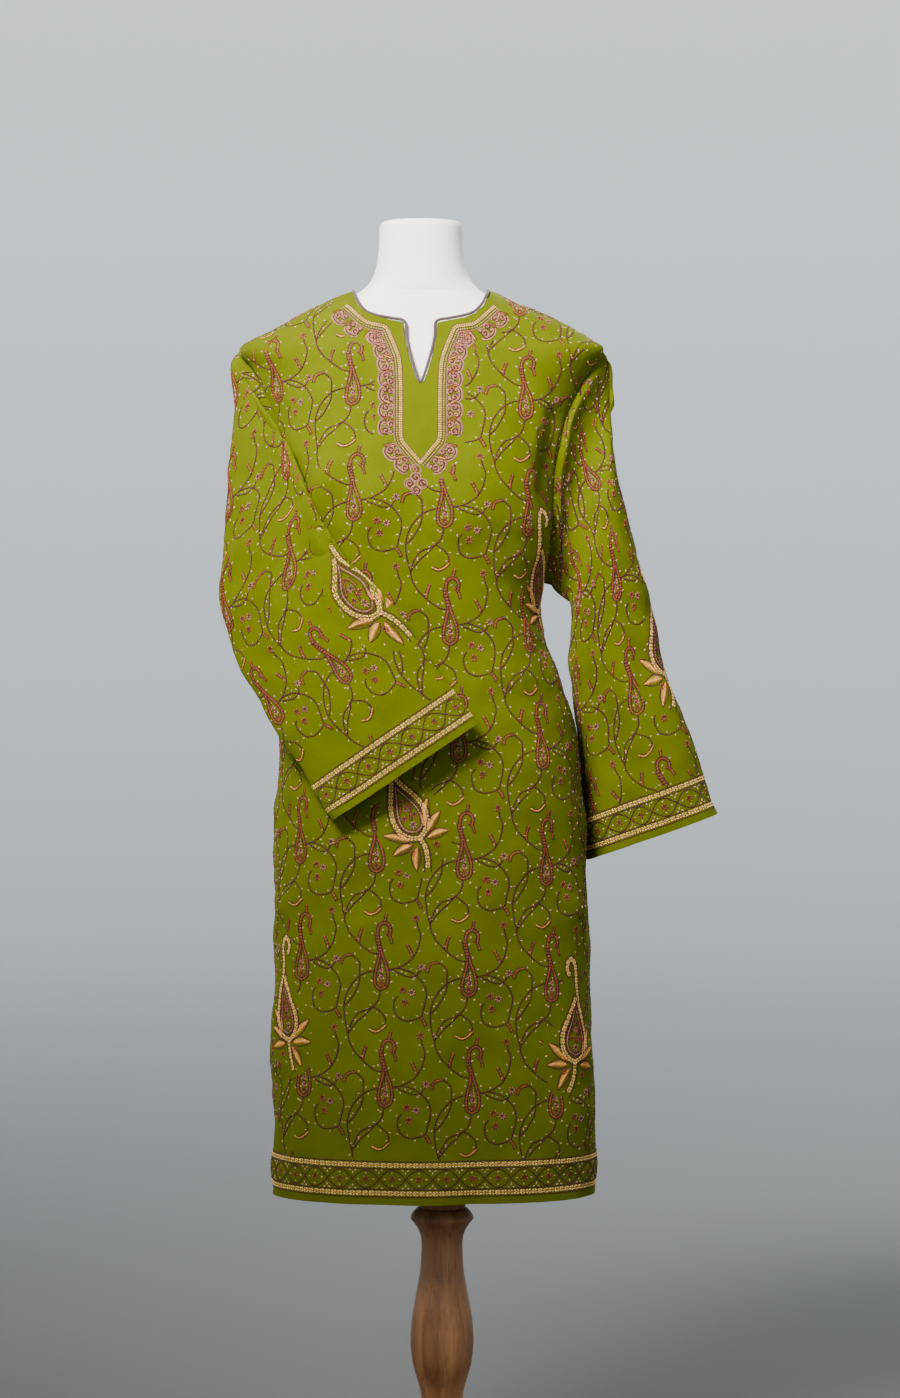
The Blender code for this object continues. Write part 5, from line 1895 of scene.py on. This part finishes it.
def scallops(made, line):
    """Close-set coils, commas and bars between the double line and a scalloped edge."""
    for i, (p, w, o) in enumerate(zip(*spaced(line, SCALLOP, start=SCALLOP / 2))):
        hand = 1 if i % 2 else -1
        t = np.linspace(-1, 1, 15)[:, None]
        bulge = np.sqrt(np.clip(1 - t * t, 0, 1))
        reach = SCALLOP_FOOT + (BORDER_REACH - SCALLOP_FOOT) * bulge
        outline = p + o * reach + w * SCALLOP / 2 * t
        for off, thread, width in ((0.0, "pink", 2.2), (1.7, "dark", 1.5), (3.2, "pink", 1.7)):
            stitch_line(made, thread, outline, stitch=2.8, width=width, rise=0.7, off=off)
        spiral(made, *(p + o * 16.2 + w * 3.6 * hand), 4.6, turn=i * 1.3, hand=hand)
        spiral(made, *(p + o * 11.2 - w * 3.4 * hand), 3.9, turn=i, hand=-hand)
        spiral(made, *(p + o * 11.0 + w * 5.6 * hand), 3.1, turn=2 + i, hand=hand, core="seed")
        spiral(made, *(p + o * 18.0 - w * 5.2 * hand), 3.0, turn=1 + i, hand=hand, core="gold")
        edge = p + w * SCALLOP / 2
        bar = (edge + o * 8.8 - w * 3.0, edge + o * 13.5, edge + o * 18.5 + w * 2.0)
        crescent(made, bar, 1.8, core="gold" if i % 3 == 0 else "copper")
        for d, a in ((9.0, -7.4), (14.4, -0.6), (20.6, 0.4), (9.2, 1.4), (14.6, 8.2)):
            made.add("pink", p + o * d + w * (a - 1.2), p + o * d + w * (a + 1.2), 1.8, 0.7)


PENDANT = (-5.0, 1194.0)  # three lobes of coils under the point of the border


def pendant():
    made = Drawing()
    x, y = PENDANT
    for dx, dy, size in ((0, 5, 4.6), (-7, -2, 4.2), (7, -2, 4.2), (0, -9, 4.6), (0, 14, 3.4)):
        spiral(made, x + dx, y + dy, size, turn=dx + dy, hand=1 if dx < 0 else -1)
        angle = np.linspace(0, 2 * math.pi, 12)
        ring = np.stack((x + dx + 5.9 * np.cos(angle), y + dy + 5.9 * np.sin(angle)), -1)
        stitch_line(made, "pink", ring, stitch=2.8, width=1.6, rise=0.65)
    return made


def border_zone(name, reach):
    """Outline of the neck border on the flat cloth, mirrored to both sides."""
    line = border_line(name)[::6]
    outer = beside(line, -reach)
    side = outer[-1, 0] + (60 if name == "back_panel" else 0)
    top = [(side, ABOVE_ALL), (-side, ABOVE_ALL)]
    return np.concatenate((outer, top, outer[::-1] * (-1, 1)))


def inside(polygon, places):
    """Which places are inside a polygon."""
    found = np.zeros(len(places), bool)
    x, y = places[:, 0], places[:, 1]
    for (x0, y0), (x1, y1) in zip(polygon, np.roll(polygon, -1, axis=0)):
        crosses = (y0 > y) != (y1 > y)
        found ^= crosses & (x < (x1 - x0) * (y - y0) / (y1 - y0 + 1e-12) + x0)
    return found


print("border braid", round(len(border_line("front_panel")) * 0.8), "mm on each side")

# %% [markdown]
# ## Setting it all out
#
# Repeats stand in slanting columns on every piece, as on the real cloth, which was worked before
# it was cut. They stop at the neck border and the edge bands, and leave room for large flowers.

# %% Layout
LATTICE_ACROSS = (98.0, -8.0)
LATTICE_DOWN = (4.0, -131.0)
REPEAT_REACH = 110.0
HEM_CLEAR = 51.0  # repeats stop this far above an edge
Large = namedtuple("Large", "x y turn mirror size", defaults=(1.0,))


def flower_between(name, foot, tip, mirror=False, size=1.0):
    """A large flower whose foot and tip show at two places of the picture."""
    a, b = where_seen(name, *foot), where_seen(name, *tip)
    lean = math.degrees(math.atan2(b[1] - a[1], b[0] - a[0])) - 90
    return Large(float(a[0]), float(a[1]), lean + (4 if mirror else -4), mirror, size)


FIRST_FOOT = {
    "front_panel": (25.0, 1144.0),
    "back_panel": (-20.0, 1150.0),
    "left_sleeve": tuple(where_seen("left_sleeve", 617, 600)),
    "right_sleeve": tuple(where_seen("right_sleeve", 288, 588)),
}
LARGE_FLOWERS = {
    "front_panel": (
        flower_between("front_panel", (420, 838), (380, 765)),
        flower_between("front_panel", (289, 1040), (285, 940), True),
        flower_between("front_panel", (575, 1062), (573, 965)),
        flower_between("front_panel", (538, 612), (543, 545), True),
    ),
    "back_panel": (
        Large(0.0, 800.0, 20.0, False),
        Large(-190.0, 560.0, 4.0, False),
        Large(190.0, 560.0, -4.0, True),
    ),
    "left_sleeve": (Large(-13.0, 170.0, -7.0, False, 1.12), Large(60.0, 190.0, -10.0, True)),
    "right_sleeve": (
        flower_between("right_sleeve", (380, 612), (311, 520), size=1.2),
        Large(-150.0, 190.0, 8.0, False),
    ),
}
EDGE_HEIGHT = {"front_panel": HEM_Z, "back_panel": HEM_Z, "left_sleeve": 0.0, "right_sleeve": 0.0}


def turned_zone(large):
    """The outline that a large flower keeps clear, on the flat cloth."""
    zone = np.array(LARGE_ZONE, float) * large.size * (-1 if large.mirror else 1, 1)
    turn = math.radians(large.turn)
    spin = np.array(((math.cos(turn), math.sin(turn)), (-math.sin(turn), math.cos(turn))))
    return zone @ spin + (large.x, large.y)


def setting(name):
    """Everything that is worked on one piece of cloth."""
    made = Drawing()
    flat = FLAT[name].reshape(-1, 2)
    (left, bottom), (right, top) = flat.min(axis=0), flat.max(axis=0)
    edge = EDGE_HEIGHT[name]
    zones = [turned_zone(large) for large in LARGE_FLOWERS[name]]
    if name in ("front_panel", "back_panel"):
        zones.append(border_zone(name, BORDER_REACH + 4.0))

    def clear(places):
        found = places[:, 1] > edge + HEM_CLEAR
        for zone in zones:
            found &= ~inside(zone, places)
        return found

    first = FIRST_FOOT[name]
    for a in range(-8, 9):
        for b in range(-8, 9):
            x = first[0] + a * LATTICE_ACROSS[0] + b * LATTICE_DOWN[0]
            y = first[1] + a * LATTICE_ACROSS[1] + b * LATTICE_DOWN[1]
            if left - REPEAT_REACH < x < right + REPEAT_REACH and bottom < y < top + REPEAT_REACH:
                made.place(one_repeat, x, y, keep=clear)
    for large in LARGE_FLOWERS[name]:
        made.place(one_large, large.x, large.y, large.turn, large.mirror, size=large.size)
    made.place(edge_band(left + 2, right - 2), 0, edge)
    if name in ("front_panel", "back_panel"):
        border = neck_border(name)
        made.place(border, 0, 0, keep=lambda places: places[:, 0] > -1)
        made.place(border, 0, 0, mirror=True, keep=lambda places: places[:, 0] < 1)
    if name == "front_panel":
        made.place(pendant(), 0, 0)
    return made


SETTINGS = {name: setting(name) for name in CLOTH_GRIDS}
for name, made in SETTINGS.items():
    print(name, {thread: len(made.stitches(thread)) for thread in THREADS})

# %% [markdown]
# ## Hanging the stitches
#
# Geometry Nodes turn each list into thread. Every stitch is a point with a direction along the
# thread, a direction out of the cloth, and a size. A small pointed bead is instanced on each one,
# turned to its directions, and all are made real. A bead has eight faces, as there are thousands.

# %% A node tree that lays stitches
def stitch_tree():
    tree = bpy.data.node_groups.new("lay stitches", "GeometryNodeTree")
    face = tree.interface
    face.new_socket("Geometry", in_out="INPUT", socket_type="NodeSocketGeometry")
    fullness = face.new_socket("Fullness", in_out="INPUT", socket_type="NodeSocketFloat")
    fullness.default_value = 1.0
    face.new_socket("Thread", in_out="INPUT", socket_type="NodeSocketMaterial")
    face.new_socket("Geometry", in_out="OUTPUT", socket_type="NodeSocketGeometry")
    nodes, links = tree.nodes, tree.links
    start, end = nodes.new("NodeGroupInput"), nodes.new("NodeGroupOutput")

    def named(label):
        node = nodes.new("GeometryNodeInputNamedAttribute")
        node.data_type = "FLOAT_VECTOR"
        node.inputs["Name"].default_value = label
        return node.outputs["Attribute"]

    bead = nodes.new("GeometryNodeMeshUVSphere")
    bead.inputs["Segments"].default_value = 4
    bead.inputs["Rings"].default_value = 2
    bead.inputs["Radius"].default_value = 1.06
    along = nodes.new("FunctionNodeAlignRotationToVector")
    along.axis = "Z"
    links.new(named("along"), along.inputs["Vector"])
    up = nodes.new("FunctionNodeAlignRotationToVector")
    up.axis, up.pivot_axis = "X", "Z"
    links.new(along.outputs[0], up.inputs["Rotation"])
    links.new(named("out"), up.inputs["Vector"])
    wide = nodes.new("ShaderNodeCombineXYZ")
    wide.inputs["Z"].default_value = 1.0
    links.new(start.outputs["Fullness"], wide.inputs["X"])
    links.new(start.outputs["Fullness"], wide.inputs["Y"])
    size = nodes.new("ShaderNodeVectorMath")
    size.operation = "MULTIPLY"
    links.new(named("size"), size.inputs[0])
    links.new(wide.outputs[0], size.inputs[1])
    place = nodes.new("GeometryNodeInstanceOnPoints")
    links.new(start.outputs["Geometry"], place.inputs["Points"])
    links.new(bead.outputs["Mesh"], place.inputs["Instance"])
    links.new(up.outputs[0], place.inputs["Rotation"])
    links.new(size.outputs[0], place.inputs["Scale"])
    real = nodes.new("GeometryNodeRealizeInstances")
    links.new(place.outputs[0], real.inputs[0])
    smooth = nodes.new("GeometryNodeSetShadeSmooth")
    links.new(real.outputs[0], smooth.inputs["Geometry"])
    paint = nodes.new("GeometryNodeSetMaterial")
    links.new(smooth.outputs[0], paint.inputs["Geometry"])
    links.new(start.outputs["Thread"], paint.inputs["Material"])
    links.new(paint.outputs[0], end.inputs[0])
    return tree


lay_stitches = stitch_tree()
sockets = [item for item in lay_stitches.interface.items_tree if item.item_type == "SOCKET"]
print("inputs:", [item.name for item in sockets])

# %% Threads
THREAD_COLOURS = {
    "dark": (0.052, 0.005, 0.004),
    "copper": (0.25, 0.050, 0.010),
    "gold": (0.60, 0.24, 0.038),
    "cream": (0.76, 0.47, 0.17),
    "pink": (0.33, 0.13, 0.095),
    "seed": (0.50, 0.29, 0.20),
}


def thread_material(thread):
    """Soft crewel wool: matte, a little fuzzy, each stitch its own shade."""
    colour = THREAD_COLOURS[thread]
    made, tree, shader = new_material(
        thread + "_thread", colour, 0.8, sheen_weight=0.08, specular_ior_level=0.15
    )
    place = put(tree, "ShaderNodeTexCoord")
    shade = put(tree, "ShaderNodeAttribute", attribute_name="shade")
    fine = use_group(
        tree, mottle, Vector=place.outputs["Object"], Colour=(*colour, 1), Amount=0.16, Scale=700.0
    )
    gain = math_node(tree, "ADD", math_node(tree, "MULTIPLY", shade.outputs["Fac"], 0.5), 0.75)
    scaled = put(tree, "ShaderNodeVectorMath", operation="SCALE")
    tree.links.new(fine.outputs["Colour"], scaled.inputs[0])
    tree.links.new(gain, scaled.inputs["Scale"])
    tree.links.new(scaled.outputs[0], shader.inputs["Base Color"])
    bump(tree, shader, fine.outputs["Mask"], 0.5, 0.0003)
    return made


thread_materials = {thread: thread_material(thread) for thread in THREADS}

# %% All of the embroidery
STITCH_RAISE = 0.1  # the middle of a stitch lies this far above the wool, in millimetres
STITCH_LENGTHS = (0.2, 25.0)  # a hung stitch outside this range is left out


def hung_stitches(name, thread, seed):
    rows = SETTINGS[name].stitches(thread)
    start, on_start = CHARTS[name].read(rows[:, :2])
    end, on_end = CHARTS[name].read(rows[:, 2:4])
    rows = rows[on_start & on_end]
    start, end = start[on_start & on_end], end[on_start & on_end]
    out = start[:, 3:] + end[:, 3:]
    out /= np.linalg.norm(out, axis=1)[:, None]
    along = end[:, :3] - start[:, :3]
    length = np.linalg.norm(along, axis=1)
    real = (length > STITCH_LENGTHS[0]) & (length < STITCH_LENGTHS[1])
    rows, out, along, length = rows[real], out[real], along[real], length[real]
    middle = (start[real, :3] + end[real, :3]) / 2 + out * STITCH_RAISE
    size = np.stack((rows[:, 5], rows[:, 4] / 2, length / 2), axis=-1)
    chance = np.random.default_rng(seed)
    mesh = bpy.data.meshes.new("points")
    mesh.from_pydata((middle * MM).tolist(), [], [])
    for label, values in (("along", along), ("out", out), ("size", size * MM)):
        layer = mesh.attributes.new(label, "FLOAT_VECTOR", "POINT")
        layer.data.foreach_set("vector", np.ascontiguousarray(values, np.float32).ravel())
    layer = mesh.attributes.new("shade", "FLOAT", "POINT")
    layer.data.foreach_set("value", chance.random(len(rows)).astype(np.float32))
    points = bpy.data.objects.new("points", mesh)
    bpy.context.scene.collection.objects.link(points)
    modifier = points.modifiers.new("stitches", "NODES")
    modifier.node_group = lay_stitches
    given = {"Thread": thread_materials[thread], "Fullness": 1.0}
    for item in sockets:
        if item.in_out == "INPUT" and item.name in given:
            modifier[item.identifier] = given[item.name]
    laid = points.evaluated_get(bpy.context.evaluated_depsgraph_get())
    made = bpy.data.meshes.new_from_object(laid)
    bpy.data.objects.remove(points)
    made.name = name + "_" + thread
    finished = bpy.data.objects.new(name + "_" + thread, made)
    bpy.context.scene.collection.objects.link(finished)
    return finished


embroidery = []
for name in CLOTH_GRIDS:
    for number, thread in enumerate(THREADS):
        embroidery.append(hung_stitches(name, thread, 100 + number))
    made = [o for o in embroidery if o.name.startswith(name)]
    print(name, sum(len(o.data.polygons) for o in made), "faces of thread")

# %% [markdown]
# ## What stands for what
#
# The solids that the visible pieces stand for are hidden. The solids stay as collision shapes.
# Each visible piece is attached to the body it moves with.

# %% Hiding the solids and attaching the pieces
def belongs(piece, slot, *nodes):
    if nodes:
        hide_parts(*nodes)
    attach(piece, "root")


for name, shell in shells.items():
    belongs(shell, "wool", name)
for piece in embroidery:
    belongs(piece, "wool")
belongs(piping, "piping", "neck_piping")
belongs(form, "form_cover", "dress_form")
for name, piece in stand.items():
    belongs(piece, "wood", name)
print("declared", len(shells), "sheets")

# %% [markdown]
# ## Backdrop and light
#
# The photograph is lit softly from the front, against a pale blue-grey wall. The backdrop is a
# wide bowl, a floor that sweeps up into a wall, so there is no edge to be seen from any side.

# %% Backdrop
BOWL_FLAT = 8.5
BOWL_CURVE = 3.0
BOWL_WALL = 7.0
BOWL_AROUND = 96
# The paper's colours carry the studio's fall-off of light: painted shade, darkest near the floor,
# and painted light high on the wall.
PAPER_NEAR_SHADE = (0.11, 0.11, 0.11)
PAPER_FAR = (0.66, 0.70, 0.73)
PAPER_HIGH_LIT = (0.93, 0.97, 1.0)
PAPER_GLOW = 0.68  # stands for the light that the studio throws on its own wall


def bowl():
    profile = [(r, 0.0) for r in (0.0, 1.5, 4.0, BOWL_FLAT)]
    for turn in np.linspace(0, math.pi / 2, 13)[1:]:
        profile.append((BOWL_FLAT + BOWL_CURVE * math.sin(turn), BOWL_CURVE * (1 - math.cos(turn))))
    profile.append((BOWL_FLAT + BOWL_CURVE, BOWL_WALL))
    around = np.linspace(0, 2 * math.pi, BOWL_AROUND, endpoint=False)
    grid = np.array(
        [[(r * math.cos(a), r * math.sin(a), z) for a in around] for r, z in profile[1:]]
    )
    quads = grid_quads(*grid.shape[:2], closed=True, flip=True).tolist()
    middle = grid.shape[0] * grid.shape[1]
    quads += [(middle, j, (j + 1) % BOWL_AROUND) for j in range(BOWL_AROUND)]
    mesh = bpy.data.meshes.new("backdrop")
    mesh.from_pydata(np.concatenate((grid.reshape(-1, 3), [(0, 0, 0)])).tolist(), [], quads)
    mesh.shade_smooth()
    made, tree, shader = new_material("backdrop_paper", PAPER_FAR, 0.95, specular_ior_level=0.05)
    place = put(tree, "ShaderNodeTexCoord")
    apart = put(tree, "ShaderNodeSeparateXYZ")
    tree.links.new(place.outputs["Object"], apart.inputs[0])
    reach = put(tree, "ShaderNodeVectorMath", operation="LENGTH")
    tree.links.new(place.outputs["Object"], reach.inputs[0])
    rise = math_node(tree, "SUBTRACT", apart.outputs[2], CAMERA_HEIGHT)
    away = math_node(tree, "MULTIPLY", reach.outputs["Value"], 1 / CAMERA_AWAY)
    away = math_node(tree, "ADD", away, 1.0)
    seen = math_node(tree, "DIVIDE", rise, away)
    # Painted shade towards the floor and painted light above the camera's height, by height as seen
    # from the camera.
    far = soft_mask(tree, seen, -0.84, 0.10)
    high = soft_mask(tree, seen, -0.05, 1.0)
    colour = mix_colour(tree, far, PAPER_NEAR_SHADE, PAPER_FAR)
    colour = mix_colour(tree, high, colour, PAPER_HIGH_LIT)
    tree.links.new(colour, shader.inputs["Base Color"])
    tree.links.new(colour, shader.inputs["Emission Color"])
    shader.inputs["Emission Strength"].default_value = PAPER_GLOW
    return add_object("backdrop", mesh, made)


bowl()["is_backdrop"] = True

# %% Lights
def soft_light(name, place, aim, size, power, colour, spread_angle):
    data = bpy.data.lights.new(name, "AREA")
    data.shape = "DISK"
    data.size = size
    data.energy = power
    data.color = colour
    data.spread = spread_angle
    lamp = bpy.data.objects.new(name, data)
    lamp.location = place
    lamp.rotation_euler = (Vector(aim) - Vector(place)).to_track_quat("-Z", "Y").to_euler()
    bpy.context.scene.collection.objects.link(lamp)


soft_light("key", (-0.8, -1.75, 2.55), (-0.02, 0, 1.5), 0.9, 24, (1.0, 0.985, 0.95), 0.9)
soft_light("fill", (1.9, -2.6, 2.6), (0, 0, 1.5), 1.6, 4, (0.95, 0.98, 1.0), 1.0)
soft_light("back", (1.2, 2.6, 2.9), (0, 0, 1.3), 1.6, 16, (0.95, 0.98, 1.0), 1.2)
world = bpy.data.worlds.new("studio")
world.use_nodes = True
world.node_tree.nodes["Background"].inputs["Color"].default_value = (0.86, 0.93, 1.0, 1)
world.node_tree.nodes["Background"].inputs["Strength"].default_value = 0.04
bpy.context.scene.world = world

# %% [markdown]
# ## The overall size
#
# The dressed model may stand a little proud of the plain one, but not more than cloth does. Its
# size is printed.

# %% Sizes
low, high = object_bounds()
print("size", [round(h - l, 4) for l, h in zip(low, high)])
